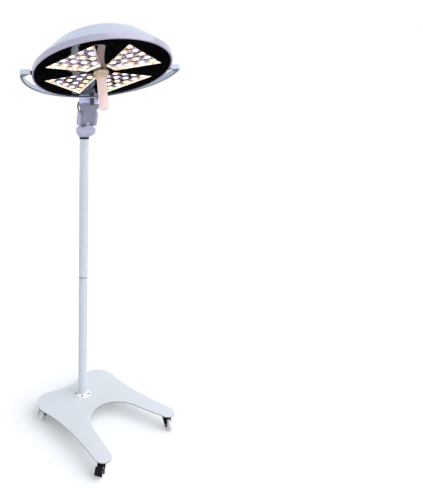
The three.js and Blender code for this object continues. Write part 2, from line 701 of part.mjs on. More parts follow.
function addLampFace(head) {
  const panel = new THREE.Shape().absarc(0, 0, PANEL_R, 0, 2 * Math.PI);
  panel.holes.push(new THREE.Path().absarc(0, 0, 14, 0, 2 * Math.PI));
  for (let index = 0; index < 4; index += 1) {
    panel.holes.push(new THREE.Path(turnedOutline(windowOutline(0), windowAngle(index))));
  }
  addPart(head, 'face_panel', slab(panel, 0, PANEL_THICK, 0, 24), 'panel_black');

  for (let index = 0; index < 4; index += 1) {
    const angle = windowAngle(index);
    const plate = (grow, low, high) => slab(
      new THREE.Shape(turnedOutline(windowOutline(grow), angle)), low, high,
    );
    addPart(head, `led_board_${index + 1}`, plate(4, 12.4, 14), 'board_white');
    // A liner round the window, the lens carrier behind it and the lenses between them.
    const liner = cut(plate(-GAP, GAP, CARRIER_Z + 1), plate(-1.8, -1, CARRIER_Z + 2));
    const lenses = lensPlaces().map(([x, y]) => {
      const lens = turned([
        [0, LENS_Z], [LENS_R, LENS_Z + 2.4], [LENS_R, CARRIER_Z + 0.5], [0, CARRIER_Z + 0.5],
      ], 7);
      return lens.translate(x, y, 0).rotateZ(angle);
    });
    const array = join(plate(2.5, CARRIER_Z, CARRIER_Z + 1.8), liner, ...lenses);
    addPart(head, `lens_array_${index + 1}`, array, 'lens_clear');
  }
}

function addHandle(head) {
  const spigotR = HANDLE_BORE_R - 0.4;
  const hub = turned([
    [0, -SPIGOT_END], [spigotR, -SPIGOT_END], [spigotR, -HUB_DEPTH],
    [HUB_R - 4, -HUB_DEPTH], [HUB_R - 1, -HUB_DEPTH + 3], [HUB_R, -6], [HUB_R, -GAP],
    [13, -GAP], [13, CHASSIS_Z - GAP], [0, CHASSIS_Z - GAP],
  ], 24);
  addPart(head, 'handle_hub', hub, 'hub_cream');

  const sleeve = turned([
    [0, -HANDLE_END], [HANDLE_R - 4, -HANDLE_END], [HANDLE_R - 1, -HANDLE_END + 1.5],
    [HANDLE_R, -HANDLE_END + 5], [HANDLE_R, -HUB_DEPTH - 2], [HANDLE_R - 1, -HUB_DEPTH - GAP],
    [HANDLE_BORE_R, -HUB_DEPTH - GAP], [HANDLE_BORE_R, -SPIGOT_END - 1.5], [0, -SPIGOT_END - 1.5],
  ], 24);
  addPart(head, 'handle_sleeve', sleeve, 'handle_white');
}

// ---------------------------------------------------------------- assembly

const surgicalLight = new THREE.Group();
const light = addGroup(surgicalLight, POLE_X, POLE_Y, 0);

addBase(light);
CASTORS.forEach((castor) => addCastor(light, castor));
addPole(light);

const knuckle = addGroup(light, 0, 0, 0);
knuckle.rotation.z = ARM_TURN;
addHousing(knuckle);
addArm(knuckle);

const swivel = addGroup(knuckle, 0, SHELF_Y, SHELF_Z);
swivel.rotation.z = YOKE_TURN;
const yoke = addGroup(swivel, 0, 0, 0);
yoke.rotation.y = YOKE_ROLL;
addYoke(yoke);

const tilt = addGroup(yoke, 0, -YOKE_REACH, YOKE_RISE);
tilt.rotation.x = HEAD_TILT;
const head = addGroup(tilt, 0, 0, -PIVOT_HEIGHT);
addLampShell(head);
addLampFace(head);
addHandle(head);

export default surgicalLight;
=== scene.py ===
# Looks of the mobile surgical light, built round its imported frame. Metres, +Z up.
# Each visible CAD node is stood for by a finer piece with the same outer size.

import json
import math

import bmesh
import bpy
from mathutils import Matrix, Vector

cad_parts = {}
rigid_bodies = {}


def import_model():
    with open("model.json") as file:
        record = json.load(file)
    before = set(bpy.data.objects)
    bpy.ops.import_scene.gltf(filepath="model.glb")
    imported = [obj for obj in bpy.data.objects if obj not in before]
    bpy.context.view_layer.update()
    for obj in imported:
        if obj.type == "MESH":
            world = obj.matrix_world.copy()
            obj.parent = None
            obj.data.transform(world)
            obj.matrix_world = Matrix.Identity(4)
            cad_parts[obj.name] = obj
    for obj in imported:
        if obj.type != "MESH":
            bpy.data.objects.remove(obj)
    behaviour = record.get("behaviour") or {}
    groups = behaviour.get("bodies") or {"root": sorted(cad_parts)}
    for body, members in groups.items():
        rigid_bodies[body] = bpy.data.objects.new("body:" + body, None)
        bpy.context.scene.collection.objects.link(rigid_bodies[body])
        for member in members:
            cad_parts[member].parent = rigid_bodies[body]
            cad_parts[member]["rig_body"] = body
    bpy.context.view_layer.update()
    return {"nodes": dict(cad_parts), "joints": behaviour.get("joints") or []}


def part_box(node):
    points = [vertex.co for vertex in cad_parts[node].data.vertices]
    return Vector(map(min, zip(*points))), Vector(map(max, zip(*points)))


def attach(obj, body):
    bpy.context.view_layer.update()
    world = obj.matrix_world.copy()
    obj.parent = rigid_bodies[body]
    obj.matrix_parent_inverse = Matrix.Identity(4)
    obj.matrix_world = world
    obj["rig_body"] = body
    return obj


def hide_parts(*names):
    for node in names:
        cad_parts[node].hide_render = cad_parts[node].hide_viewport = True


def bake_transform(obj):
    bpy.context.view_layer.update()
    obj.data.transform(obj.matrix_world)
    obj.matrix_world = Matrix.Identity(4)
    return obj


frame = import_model()

JOINTS = {joint["name"]: joint for joint in frame["joints"]}
DEGREE = math.pi / 180
MM = 0.001
STILL = Matrix.Identity(4)

# ------------------------------------------------------------------ places


def local_frame(origin, x_axis, z_axis):
    z = Vector(z_axis).normalized()
    x = (Vector(x_axis) - z * z.dot(Vector(x_axis))).normalized()
    turn = Matrix((x, z.cross(x), z)).transposed().to_4x4()
    return Matrix.Translation(origin) @ turn


def move(x, y, z):
    return Matrix.Translation((x, y, z))


def turn(angle, axis):
    return Matrix.Rotation(angle, 4, axis)


POLE_LOW, POLE_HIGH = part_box("lower_pole")
POLE_R = (POLE_HIGH.x - POLE_LOW.x) / 2
POLE = Vector(((POLE_LOW.x + POLE_HIGH.x) / 2, (POLE_LOW.y + POLE_HIGH.y) / 2, 0))
PLATE_LOW, PLATE_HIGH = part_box("base_plate")
PIVOT_HEIGHT = 7 * MM
YOKE_SLOPE = -14.13 * DEGREE
ARM_LEAN = 18.4 * DEGREE

STAND = move(*POLE)
KNUCKLE = local_frame(POLE, JOINTS["arm_tilt"]["axis"], (0, 0, 1))
YOKE = local_frame(
    JOINTS["yoke_swivel"]["pos_m"], JOINTS["head_tilt"]["axis"], JOINTS["yoke_swivel"]["axis"]
)
ARCH = local_frame(
    JOINTS["head_tilt"]["pos_m"], JOINTS["head_tilt"]["axis"], JOINTS["yoke_swivel"]["axis"]
) @ turn(YOKE_SLOPE, "X")
HEAD = local_frame(
    JOINTS["head_tilt"]["pos_m"],
    JOINTS["head_tilt"]["axis"],
    -Vector(JOINTS["handle_pull"]["axis"]),
) @ move(0, 0, -PIVOT_HEIGHT)

# ------------------------------------------------------------------ outlines and profiles


def arc(x, y, radius, start, end, steps=24):
    angles = [start + (end - start) * index / steps for index in range(steps + 1)]
    return [(x + radius * math.cos(a), y + radius * math.sin(a)) for a in angles]


def bezier(a, b, c, d, steps=28):
    points = []
    for index in range(1, steps):
        t = index / steps
        weights = ((1 - t) ** 3, 3 * t * (1 - t) ** 2, 3 * t * t * (1 - t), t**3)
        points.append(tuple(sum(w * p[k] for w, p in zip(weights, (a, b, c, d))) for k in (0, 1)))
    return points


def rounded(points, radius, closed=True, steps=5):
    """The corner points with every corner rounded off."""
    corners = [Vector(p) for p in points]
    result = []
    for index, corner in enumerate(corners):
        if not closed and index in (0, len(corners) - 1):
            result.append(tuple(corner))
            continue
        before = corners[index - 1] - corner
        after = corners[(index + 1) % len(corners)] - corner
        half = before.angle(after) / 2
        reach = min(radius / math.tan(half), 0.45 * before.length, 0.45 * after.length)
        if half > 80 * DEGREE:
            result.append(tuple(corner))
            continue
        first = corner + before.normalized() * reach
        last = corner + after.normalized() * reach
        for step in range(steps + 1):
            t = step / steps
            result.append(tuple(first * (1 - t) ** 2 + corner * 2 * t * (1 - t) + last * t * t))
    return result


def rectangle(left, bottom, right, top, radius):
    return rounded([(left, bottom), (right, bottom), (right, top), (left, top)], radius, steps=8)


def circle(radius, steps=96):
    return arc(0, 0, radius, 0, 2 * math.pi, steps)[:-1]


# ------------------------------------------------------------------ mesh building


class Shape:
    """A mesh put together from turned, flat and swept bodies, each with its own material."""

    def __init__(self):
        self.bm = bmesh.new()

    def take(self, other, place=STILL, material=0, walls=(), wall=None):
        """Adds another bmesh and frees it."""
        bmesh.ops.transform(other, matrix=place, verts=other.verts)
        bmesh.ops.recalc_face_normals(other, faces=other.faces)
        other.faces.ensure_lookup_table()
        for face in other.faces:
            face.material_index = material
        for index in walls:
            other.faces[index].material_index = wall
        mesh = bpy.data.meshes.new("part")
        other.to_mesh(mesh)
        other.free()
        self.bm.from_mesh(mesh)
        bpy.data.meshes.remove(mesh)
        return self

    def turned(self, profile, place=STILL, material=0, steps=96):
        """A body turned about Z from (radius, z) points."""
        other = bmesh.new()
        verts = [other.verts.new((r, 0, z)) for r, z in profile]
        edges = [other.edges.new(pair) for pair in zip(verts, verts[1:])]
        bmesh.ops.spin(
            other, geom=verts + edges, angle=2 * math.pi, steps=steps, axis=(0, 0, 1), cent=(0, 0, 0)
        )
        bmesh.ops.remove_doubles(other, verts=other.verts, dist=1e-6)
        return self.take(other, place, material)

    def flat(self, outlines, low, high, edge=0.0, place=STILL, material=0, steps=3, wall=None):
        """Outlines (the first may have holes in it) raised from low to high, with round edges.

        Faces that stand upright take the wall material where one is given.
        """
        curve = bpy.data.curves.new("flat", "CURVE")
        curve.dimensions = "2D"
        curve.fill_mode = "BOTH"
        curve.extrude = (high - low) / 2 - edge
        curve.bevel_depth = edge
        curve.bevel_resolution = steps
        curve.offset = -edge
        for outline in outlines:
            spline = curve.splines.new("POLY")
            spline.points.add(len(outline) - 1)
            for point, (x, y) in zip(spline.points, outline):
                point.co = (x, y, 0, 1)
            spline.use_cyclic_u = True
        other = from_curve(curve)
        bmesh.ops.remove_doubles(other, verts=other.verts, dist=1e-6)
        other.normal_update()
        upright = [index for index, face in enumerate(other.faces) if abs(face.normal.z) < 0.4]
        return self.take(
            other, place @ move(0, 0, (low + high) / 2), material, upright if wall else (), wall
        )

    def swept(self, points, radius, place):
        """A round cable through the points, with closed ends."""
        curve = smooth_line(points)
        curve.bevel_depth = radius
        curve.bevel_resolution = 5
        curve.use_fill_caps = True
        other = from_curve(curve)
        bmesh.ops.remove_doubles(other, verts=other.verts, dist=1e-6)
        return self.take(other, place)

    def mesh(self, name, sharp=32):
        mesh = bpy.data.meshes.new(name)
        self.bm.to_mesh(mesh)
        self.bm.free()
        mesh.polygons.foreach_set("use_smooth", [True] * len(mesh.polygons))
        mesh.set_sharp_from_angle(angle=sharp * DEGREE)
        return mesh


def smooth_line(points):
    """A curve that the points shape, from the first to the last."""
    curve = bpy.data.curves.new("line", "CURVE")
    curve.dimensions = "3D"
    spline = curve.splines.new("NURBS")
    spline.points.add(len(points) - 1)
    for point, place in zip(spline.points, points):
        point.co = (*place, 1)
    spline.use_endpoint_u = True
    spline.order_u = 4
    spline.resolution_u = 10
    return curve


def evaluated(obj):
    """A new mesh: the object's own with its modifiers or its bevel applied."""
    bpy.context.view_layer.update()
    return bpy.data.meshes.new_from_object(obj.evaluated_get(bpy.context.evaluated_depsgraph_get()))


def from_curve(curve):
    """The curve's own surface as a bmesh; the curve goes."""
    obj = bpy.data.objects.new("curve", curve)
    bpy.context.scene.collection.objects.link(obj)
    mesh = evaluated(obj)
    bpy.data.objects.remove(obj)
    bpy.data.curves.remove(curve)
    other = bmesh.new()
    other.from_mesh(mesh)
    bpy.data.meshes.remove(mesh)
    return other


def skin(node, shape, *materials, sharp=32):
    """Puts the shape in the scene in place of a CAD node, on that node's body."""
    obj = bpy.data.objects.new(f"{node}_skin", shape.mesh(node, sharp))
    bpy.context.scene.collection.objects.link(obj)
    for material in materials:
        obj.data.materials.append(material)
    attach(obj, frame["nodes"][node]["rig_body"])
    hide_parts(node)
    return obj


def short_lead(points, place):
    """Works out the points of a short lead that leaves one part of the object and enters the next; they
    are not kept.
    """
    line = [place @ vert.co for vert in from_curve(smooth_line(points)).verts]


def dress(node, material):
    """A better material for a CAD node that stays as it is."""
    obj = frame["nodes"][node]
    obj.data.materials.clear()
    obj.data.materials.append(material)


# ------------------------------------------------------------------ materials


def noise(nodes, links, scale, detail=3.0, stretch=(1, 1, 1)):
    place = nodes.new("ShaderNodeTexCoord")
    mapping = nodes.new("ShaderNodeMapping")
    mapping.inputs["Scale"].default_value = stretch
    texture = nodes.new("ShaderNodeTexNoise")
    texture.inputs["Scale"].default_value = scale
    texture.inputs["Detail"].default_value = detail
    links.new(place.outputs["Object"], mapping.inputs["Vector"])
    links.new(mapping.outputs["Vector"], texture.inputs["Vector"])
    return texture.outputs["Fac"]


def spread(nodes, links, value, low, high):
    """Maps the middle of a 0 to 1 noise to low..high."""
    node = nodes.new("ShaderNodeMapRange")
    node.inputs["From Min"].default_value = 0.3
    node.inputs["From Max"].default_value = 0.7
    node.inputs["To Min"].default_value = low
    node.inputs["To Max"].default_value = high
    links.new(value, node.inputs["Value"])
    return node.outputs["Result"]


def tones(nodes, links, value, first, second):
    ramp = nodes.new("ShaderNodeValToRGB")
    ramp.color_ramp.elements[0].position = 0.3
    ramp.color_ramp.elements[1].position = 0.7
    ramp.color_ramp.elements[0].color = (*first, 1)
    ramp.color_ramp.elements[1].color = (*second, 1)
    links.new(value, ramp.inputs["Fac"])
    return ramp.outputs["Color"]


def surface(
    name, first, second, patch=9.0, rough=(0.35, 0.45), grain=900.0, relief=0.02,
    metallic=0.0, coat=0.0, coat_ior=1.5, specular=0.5, stretch=(1, 1, 1),
):
    """Paint, plastic or metal: two close tones in soft patches, uneven gloss and a fine grain."""
    material = bpy.data.materials.new(name)
    material.use_nodes = True
    nodes, links = material.node_tree.nodes, material.node_tree.links
    shader = nodes["Principled BSDF"]
    shader.inputs["Metallic"].default_value = metallic
    shader.inputs["Specular IOR Level"].default_value = specular
    shader.inputs["Coat Weight"].default_value = coat
    shader.inputs["Coat Roughness"].default_value = 0.04
    shader.inputs["Coat IOR"].default_value = coat_ior
    patches = noise(nodes, links, patch, 4.0)
    links.new(tones(nodes, links, patches, first, second), shader.inputs["Base Color"])
    fine = noise(nodes, links, grain, 2.0, stretch)
    uneven = noise(nodes, links, patch * 3, 5.0, stretch)
    links.new(spread(nodes, links, uneven, *rough), shader.inputs["Roughness"])
    bump = nodes.new("ShaderNodeBump")
    bump.inputs["Strength"].default_value = relief
    bump.inputs["Distance"].default_value = 0.0005
    links.new(fine, bump.inputs["Height"])
    links.new(bump.outputs["Normal"], shader.inputs["Normal"])
    return material


def glowing(name, centre, middle, rim, strength):
    """A lit lens front: white in the middle, then tinted, with painted shade darkening it towards its
    moulded rim.
    """
    material = bpy.data.materials.new(name)
    material.use_nodes = True
    nodes, links = material.node_tree.nodes, material.node_tree.links
    shader = nodes["Principled BSDF"]
    shader.inputs["Roughness"].default_value = 0.12
    shader.inputs["Emission Strength"].default_value = strength
    radius = nodes.new("ShaderNodeAttribute")
    radius.attribute_name = "lens_radius"
    mottle = noise(nodes, links, 160, 3.0)
    shifted = nodes.new("ShaderNodeMath")
    shifted.operation = "MULTIPLY_ADD"
    shifted.inputs[1].default_value = 0.45
    links.new(mottle, shifted.inputs[0])
    links.new(radius.outputs["Fac"], shifted.inputs[2])
    ramp = nodes.new("ShaderNodeValToRGB")
    elements = ramp.color_ramp.elements
    elements[0].position, elements[0].color = 0.62, (*centre, 1)
    elements[1].position, elements[1].color = 1.0, (*middle, 1)
    links.new(shifted.outputs["Value"], ramp.inputs["Fac"])
    # Darker towards the rim: painted shade at the lens edge.
    edge = nodes.new("ShaderNodeValToRGB")
    edge.color_ramp.elements[0].position, edge.color_ramp.elements[0].color = 0.7, (1, 1, 1, 1)
    edge.color_ramp.elements[1].position, edge.color_ramp.elements[1].color = 1.0, (*rim, 1)
    links.new(radius.outputs["Fac"], edge.inputs["Fac"])
    tint = nodes.new("ShaderNodeMix")
    tint.data_type = "RGBA"
    tint.blend_type = "MULTIPLY"
    tint.inputs[0].default_value = 1.0
    links.new(ramp.outputs["Color"], tint.inputs[6])
    links.new(edge.outputs["Color"], tint.inputs[7])
    links.new(tint.outputs[2], shader.inputs["Emission Color"])
    links.new(tint.outputs[2], shader.inputs["Base Color"])
    return material


def lit(name, scale, strength, stops):
    """Plastic with painted light: the lenses' glow and reflections as soft emitting patches of the given
    (position, colour) stops.
    """
    material = bpy.data.materials.new(name)
    material.use_nodes = True
    nodes, links = material.node_tree.nodes, material.node_tree.links
    shader = nodes["Principled BSDF"]
    shader.inputs["Emission Strength"].default_value = strength
    shader.inputs["Coat Weight"].default_value = 0.5
    gloss = spread(nodes, links, noise(nodes, links, scale * 3), 0.1, 0.35)
    links.new(gloss, shader.inputs["Roughness"])
    ramp = nodes.new("ShaderNodeValToRGB")
    elements = ramp.color_ramp.elements
    (elements[0].position, first), (elements[1].position, last) = stops[0], stops[-1]
    elements[0].color, elements[1].color = (*first, 1), (*last, 1)
    for position, colour in stops[1:-1]:
        elements.new(position).color = (*colour, 1)
    links.new(noise(nodes, links, scale, 4.0), ramp.inputs["Fac"])
    links.new(ramp.outputs["Color"], shader.inputs["Emission Color"])
    links.new(ramp.outputs["Color"], shader.inputs["Base Color"])
    return material


BASE_PAINT = surface(
    "base_powder_coat", (0.66, 0.69, 0.71), (0.70, 0.735, 0.77), patch=3.0, rough=(0.34, 0.46),
    grain=1400, relief=0.05,
)
FLANGE_PAINT = surface(
    "flange_paint", (0.88, 0.88, 0.86), (0.94, 0.94, 0.92), patch=40, rough=(0.28, 0.4),
    grain=1400, relief=0.05,
)
# Upright edge of the base plate: a dark tan tone that paints shade and a brownish reflection on it.
PLATE_EDGE_SHADE = surface(
    "base_edge_painted_shade", (0.26, 0.22, 0.19), (0.36, 0.31, 0.27), patch=30, rough=(0.35, 0.5),
    grain=1500, relief=0.05,
)
POLE_PAINT = surface(
    "pole_paint", (0.60, 0.66, 0.71), (0.63, 0.68, 0.73), patch=2.5, rough=(0.24, 0.32),
    grain=1100, relief=0.02, coat=0.25,
)
KNUCKLE_PAINT = surface(
    "knuckle_paint", (0.42, 0.43, 0.58), (0.50, 0.51, 0.66), patch=22, rough=(0.34, 0.48),
    grain=1500, relief=0.08,
)
# The arm's paint is darkened: painted shade for the leaning arm's underside.
ARM_PAINT_SHADED = surface(
    "arm_paint", (0.25, 0.25, 0.34), (0.31, 0.31, 0.41), patch=25, rough=(0.42, 0.56),
    grain=1500, relief=0.1,
)
YOKE_PAINT = surface(
    "yoke_paint", (0.48, 0.55, 0.67), (0.57, 0.63, 0.74), patch=8, rough=(0.24, 0.36),
    grain=1200, relief=0.04, coat=0.2,
)
# Dark grey for the yoke ring's downward faces: painted shade.
YOKE_UNDERSIDE_SHADE = surface(
    "yoke_underside_painted_shade", (0.20, 0.21, 0.24), (0.26, 0.27, 0.30), patch=12, rough=(0.3, 0.42),
    grain=1200, relief=0.05,
)
DOME_GLOSS = surface(
    "dome_gloss", (0.54, 0.61, 0.74), (0.58, 0.64, 0.76), patch=3, rough=(0.2, 0.26),
    grain=700, relief=0.006, coat=0.4,
)
BAND_GLOSS = surface(
    "band_gloss", (0.38, 0.36, 0.48), (0.45, 0.42, 0.54), patch=5, rough=(0.12, 0.22),
    grain=800, relief=0.015, coat=0.6,
)
PANEL_BLACK = surface(
    "panel_black", (0.0006, 0.0006, 0.0008), (0.0012, 0.0012, 0.0016), patch=6, rough=(0.015, 0.04),
    grain=300, relief=0.0, specular=1.0, coat=1.0, coat_ior=1.75,
)
# Lens carriers with painted light: the lenses' glow through clear plastic painted on as emitting
# patches; the dim one paints less of it.
CARRIER_DIM_GLOW = lit("carrier_dim_painted_glow", 75, 0.35, [
    (0.46, (0.003, 0.003, 0.004)), (0.55, (0.05, 0.035, 0.04)), (0.62, (0.34, 0.17, 0.12)),
    (0.70, (0.80, 0.66, 0.60)),
])
CARRIER_BRIGHT_GLOW = lit("carrier_bright_painted_glow", 75, 0.40, [
    (0.34, (0.010, 0.009, 0.014)), (0.44, (0.13, 0.11, 0.15)), (0.54, (0.40, 0.34, 0.40)),
    (0.61, (0.80, 0.54, 0.36)), (0.68, (1.0, 0.90, 0.82)),
])
# Window walls: lens reflections and glow painted on as cream, orange and green emitting patches.
WINDOW_WALL_GLOW = lit("window_wall_painted_glow", 60, 0.45, [
    (0.36, (0.95, 0.50, 0.24)), (0.43, (1.0, 0.90, 0.76)), (0.56, (1.0, 0.96, 0.88)),
    (0.64, (0.28, 0.85, 0.48)),
])
LENS_SIDE = surface(
    "lens_side", (0.30, 0.29, 0.33), (0.62, 0.60, 0.66), patch=120, rough=(0.04, 0.14),
    grain=900, relief=0.04, coat=0.8, specular=0.8,
)
LENS_SMALL = surface(
    "lens_small", (0.03, 0.035, 0.07), (0.16, 0.15, 0.19), patch=140, rough=(0.03, 0.08),
    grain=900, relief=0.02, coat=1.0, specular=0.9,
)
LENS_WARM = glowing("lens_warm", (1.0, 0.96, 0.88), (1.0, 0.78, 0.50), (0.60, 0.26, 0.13), 0.95)
LENS_COOL = glowing("lens_cool", (0.97, 0.95, 1.0), (0.76, 0.70, 1.0), (0.34, 0.28, 0.62), 0.95)
HANDLE_WHITE = surface(
    "handle_white", (0.95, 0.70, 0.67), (1.0, 0.78, 0.75), patch=18, rough=(0.36, 0.5),
    grain=1600, relief=0.06,
)
HUB_CREAM = surface(
    "hub_cream", (0.60, 0.46, 0.31), (0.72, 0.58, 0.42), patch=35, rough=(0.35, 0.5),
    grain=1600, relief=0.06,
)
BLACK_PLASTIC = surface(
    "black_plastic", (0.002, 0.002, 0.003), (0.006, 0.006, 0.007), patch=40, rough=(0.4, 0.6),
    grain=1800, relief=0.1, specular=0.25,
)
GREY_PLASTIC = surface(
    "grey_plastic", (0.07, 0.075, 0.085), (0.12, 0.125, 0.14), patch=40, rough=(0.38, 0.55),
    grain=1700, relief=0.1,
)
TYRE = surface(
    "pale_tyre", (0.62, 0.63, 0.66), (0.74, 0.75, 0.77), patch=40, rough=(0.5, 0.7),
    grain=1800, relief=0.12,
)
RUBBER = surface(
    "rubber", (0.006, 0.007, 0.012), (0.014, 0.016, 0.026), patch=30, rough=(0.5, 0.72),
    grain=2000, relief=0.12,
)
STEEL = surface(
    "steel", (0.42, 0.43, 0.45), (0.62, 0.63, 0.65), patch=60, rough=(0.18, 0.36),
    grain=2600, relief=0.06, metallic=1.0, stretch=(1, 1, 8),
)
DARK_STEEL = surface(
    "dark_steel", (0.025, 0.024, 0.026), (0.07, 0.066, 0.066), patch=80, rough=(0.25, 0.4),
    grain=2600, relief=0.08, metallic=0.9,
)
ALUMINIUM = surface(
    "aluminium", (0.50, 0.52, 0.53), (0.60, 0.62, 0.63), patch=40, rough=(0.3, 0.42),
    grain=1800, relief=0.05, metallic=1.0,
)
BOARD_WHITE = surface(
    "board_white", (0.55, 0.66, 0.52), (0.82, 0.80, 0.72), patch=50, rough=(0.4, 0.55),
    grain=1500, relief=0.05,
)
HUB_WHITE = surface(
    "wheel_core", (0.66, 0.67, 0.70), (0.78, 0.79, 0.81), patch=50, rough=(0.35, 0.5),
    grain=1700, relief=0.08,
)
# Near-white, barely metallic steel for the tension screw: a painted highlight for its glint.
STEEL_GLINT = surface(
    "steel_painted_glint", (0.86, 0.87, 0.88), (0.96, 0.96, 0.97), patch=60, rough=(0.12, 0.25),
    grain=2600, relief=0.04, metallic=0.35,
)
# The yoke block's paint is much brighter than the knuckle paint: painted light, so the block shows lit.
BLOCK_PAINT_LIT = surface(
    "block_paint_painted_light", (0.55, 0.60, 0.90), (0.64, 0.69, 0.97), patch=20, rough=(0.28, 0.4),
    grain=1400, relief=0.06, coat=0.15,
)

# ------------------------------------------------------------------ fasteners


def socket_screw(shape, radius, height, place, material, dark):
    """A cap screw: a turned head with a hexagonal recess in its end, and a dark disc at the recess
    bottom as painted shade.
    """
    head = rounded([(0, 0), (radius, 0), (radius, height * 0.5), (0, height * 0.5)], height * 0.1)
    shape.turned(head, place, material, 32)
    key = circle(radius * 0.5, 6)
    shape.flat(
        [circle(radius, 32), key], height * 0.4, height, height * 0.14, place, material
    )
    # A dark disc at the bottom of the recess: painted shade.
    shape.flat([circle(radius * 0.52, 6)], height * 0.42, height * 0.56, 0, place, dark)


# ------------------------------------------------------------------ base

REAR_EDGE_Y = 97 * MM
LOBE = (162 * MM, 38 * MM, 92 * MM)
LEG_TIP = (228 * MM, -386 * MM, 41.5 * MM)
LEG_SPLAY = 16.5 * DEGREE
BAY = (0, -286 * MM, 149 * MM)
LOBE_ARC = (105 * DEGREE, -12 * DEGREE)
TIP_ARC = (12 * DEGREE, LEG_SPLAY - math.pi)


def right_half():
    """The plate's edge from the middle of the rear to the leg's inner side."""
    lobe = arc(*LOBE, *LOBE_ARC, 36)
    tip = arc(*LEG_TIP, *TIP_ARC, 36)
    start, waist, leg = lobe[0], lobe[-1], tip[0]
    rear = bezier(
        (0, REAR_EDGE_Y), (45 * MM, REAR_EDGE_Y), (start[0] - 46 * MM, start[1] - 12 * MM), start
    )
    side = bezier(
        waist, (waist[0] - 25 * MM, waist[1] - 117 * MM), (leg[0] - 29 * MM, leg[1] + 137 * MM), leg
    )
    return rear + lobe + side + tip


def base_plate():
    right = right_half()
    left = [(-x, y) for x, y in reversed(right)]
    bay = arc(*BAY, LEG_SPLAY, math.pi - LEG_SPLAY, 72)
    outline = [(0, REAR_EDGE_Y)] + right + bay + left
    # The plate's upright edge faces take the dark tan tone, painted shade.
    shape = Shape().flat([outline], PLATE_LOW.z, PLATE_HIGH.z, 0.9 * MM, STAND, wall=1)
    skin("base_plate", shape, BASE_PAINT, PLATE_EDGE_SHADE)


def flange():
    low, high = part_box("pole_flange")
    radius = (high.x - low.x) / 2
    top = low.z + 4.2 * MM
    profile = [
        (18 * MM, low.z), (radius, low.z), (radius, top), (POLE_R + 2 * MM, top),
        (POLE_R + 1.2 * MM, top + 0.8 * MM), (POLE_R + 0.4 * MM, top + 2.2 * MM),
        (18 * MM, top + 2.2 * MM), (18 * MM, low.z),
    ]
    shape = Shape().turned(rounded(profile, 0.9 * MM, closed=False), STAND)
    skin("pole_flange", shape, FLANGE_PAINT)
    for index in range(1, 6):
        node = f"flange_bolt_{index}"
        low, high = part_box(node)
        middle = (low + high) / 2
        shape = Shape()
        socket_screw(
            shape, 3.9 * MM, 3.4 * MM, move(middle.x, middle.y, top + 0.2 * MM), 0, 1
        )
        skin(node, shape, DARK_STEEL, RUBBER)


def pole():
    for node in ("lower_pole", "upper_pole"):
        low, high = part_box(node)
        inner = POLE_R - 2.5 * MM
        profile = [(inner, low.z), (POLE_R, low.z), (POLE_R, high.z), (inner, high.z), (inner, low.z)]
        shape = Shape().turned(rounded(profile, 0.8 * MM, closed=False), STAND)
        skin(node, shape, POLE_PAINT)
    low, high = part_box("pole_joint_ring")
    outer = (high.x - low.x) / 2
    profile = [
        (outer - 2 * MM, low.z), (outer, low.z), (outer, high.z), (outer - 2 * MM, high.z),
        (outer - 2 * MM, low.z),
    ]
    skin(
        "pole_joint_ring", Shape().turned(rounded(profile, 0.5 * MM, closed=False), STAND), RUBBER
    )
    dress("pole_joint_stud", STEEL)
    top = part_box("upper_pole")[1].z
    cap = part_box("swivel_housing")[0].z
    outer = POLE_R + 1 * MM
    profile = [
        (12 * MM, top + 0.3 * MM), (outer, top + 0.3 * MM), (outer, cap - 0.3 * MM),
        (14 * MM, cap - 0.3 * MM), (14 * MM, cap + 20 * MM), (12 * MM, cap + 20 * MM),
        (12 * MM, top + 0.3 * MM),
    ]
    shape = Shape().turned(rounded(profile, 1.2 * MM, closed=False), STAND)
    skin("swivel_spigot", shape, RUBBER)


def power_inlet():
    """A chamfered housing against the pole with a round recess and three pins in it."""
    low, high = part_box("power_inlet")
    place = STAND @ turn(-42 * DEGREE, "Z") @ move(0, 0, (low.z + high.z) / 2) @ turn(-90 * DEGREE, "X")
    outside = rectangle(-11 * MM, -14 * MM, 11 * MM, 14 * MM, 5 * MM)
    shape = Shape()
    shape.flat([outside], 15 * MM, 27 * MM, 0.5 * MM, place)
    shape.flat([outside, circle(7.4 * MM, 40)], 26 * MM, 32 * MM, 0.9 * MM, place)
    for index in range(3):
        angle = index * 120 * DEGREE + 90 * DEGREE
        pin = place @ move(4 * MM * math.cos(angle), 4 * MM * math.sin(angle), 0)
        shape.turned(
            rounded([(0, 26 * MM), (0.9 * MM, 26 * MM), (0.9 * MM, 30.5 * MM), (0, 30.5 * MM)],
                    0.4 * MM, closed=False),
            pin, 1, 16,
        )
    skin("power_inlet", shape, GREY_PLASTIC, STEEL)


# ------------------------------------------------------------------ castors

WHEEL_R = 28 * MM
TRAIL = 25 * MM
AXLE_R = 4 * MM
SIDEWAYS = turn(90 * DEGREE, "Z") @ turn(90 * DEGREE, "X")  # flat outline's x, y to local y, z


def across(shape, outline, low, high, edge, place):
    """A side-view outline of (y, z) points, with its thickness along local X."""
    shape.flat([outline], low, high, edge, place @ SIDEWAYS)


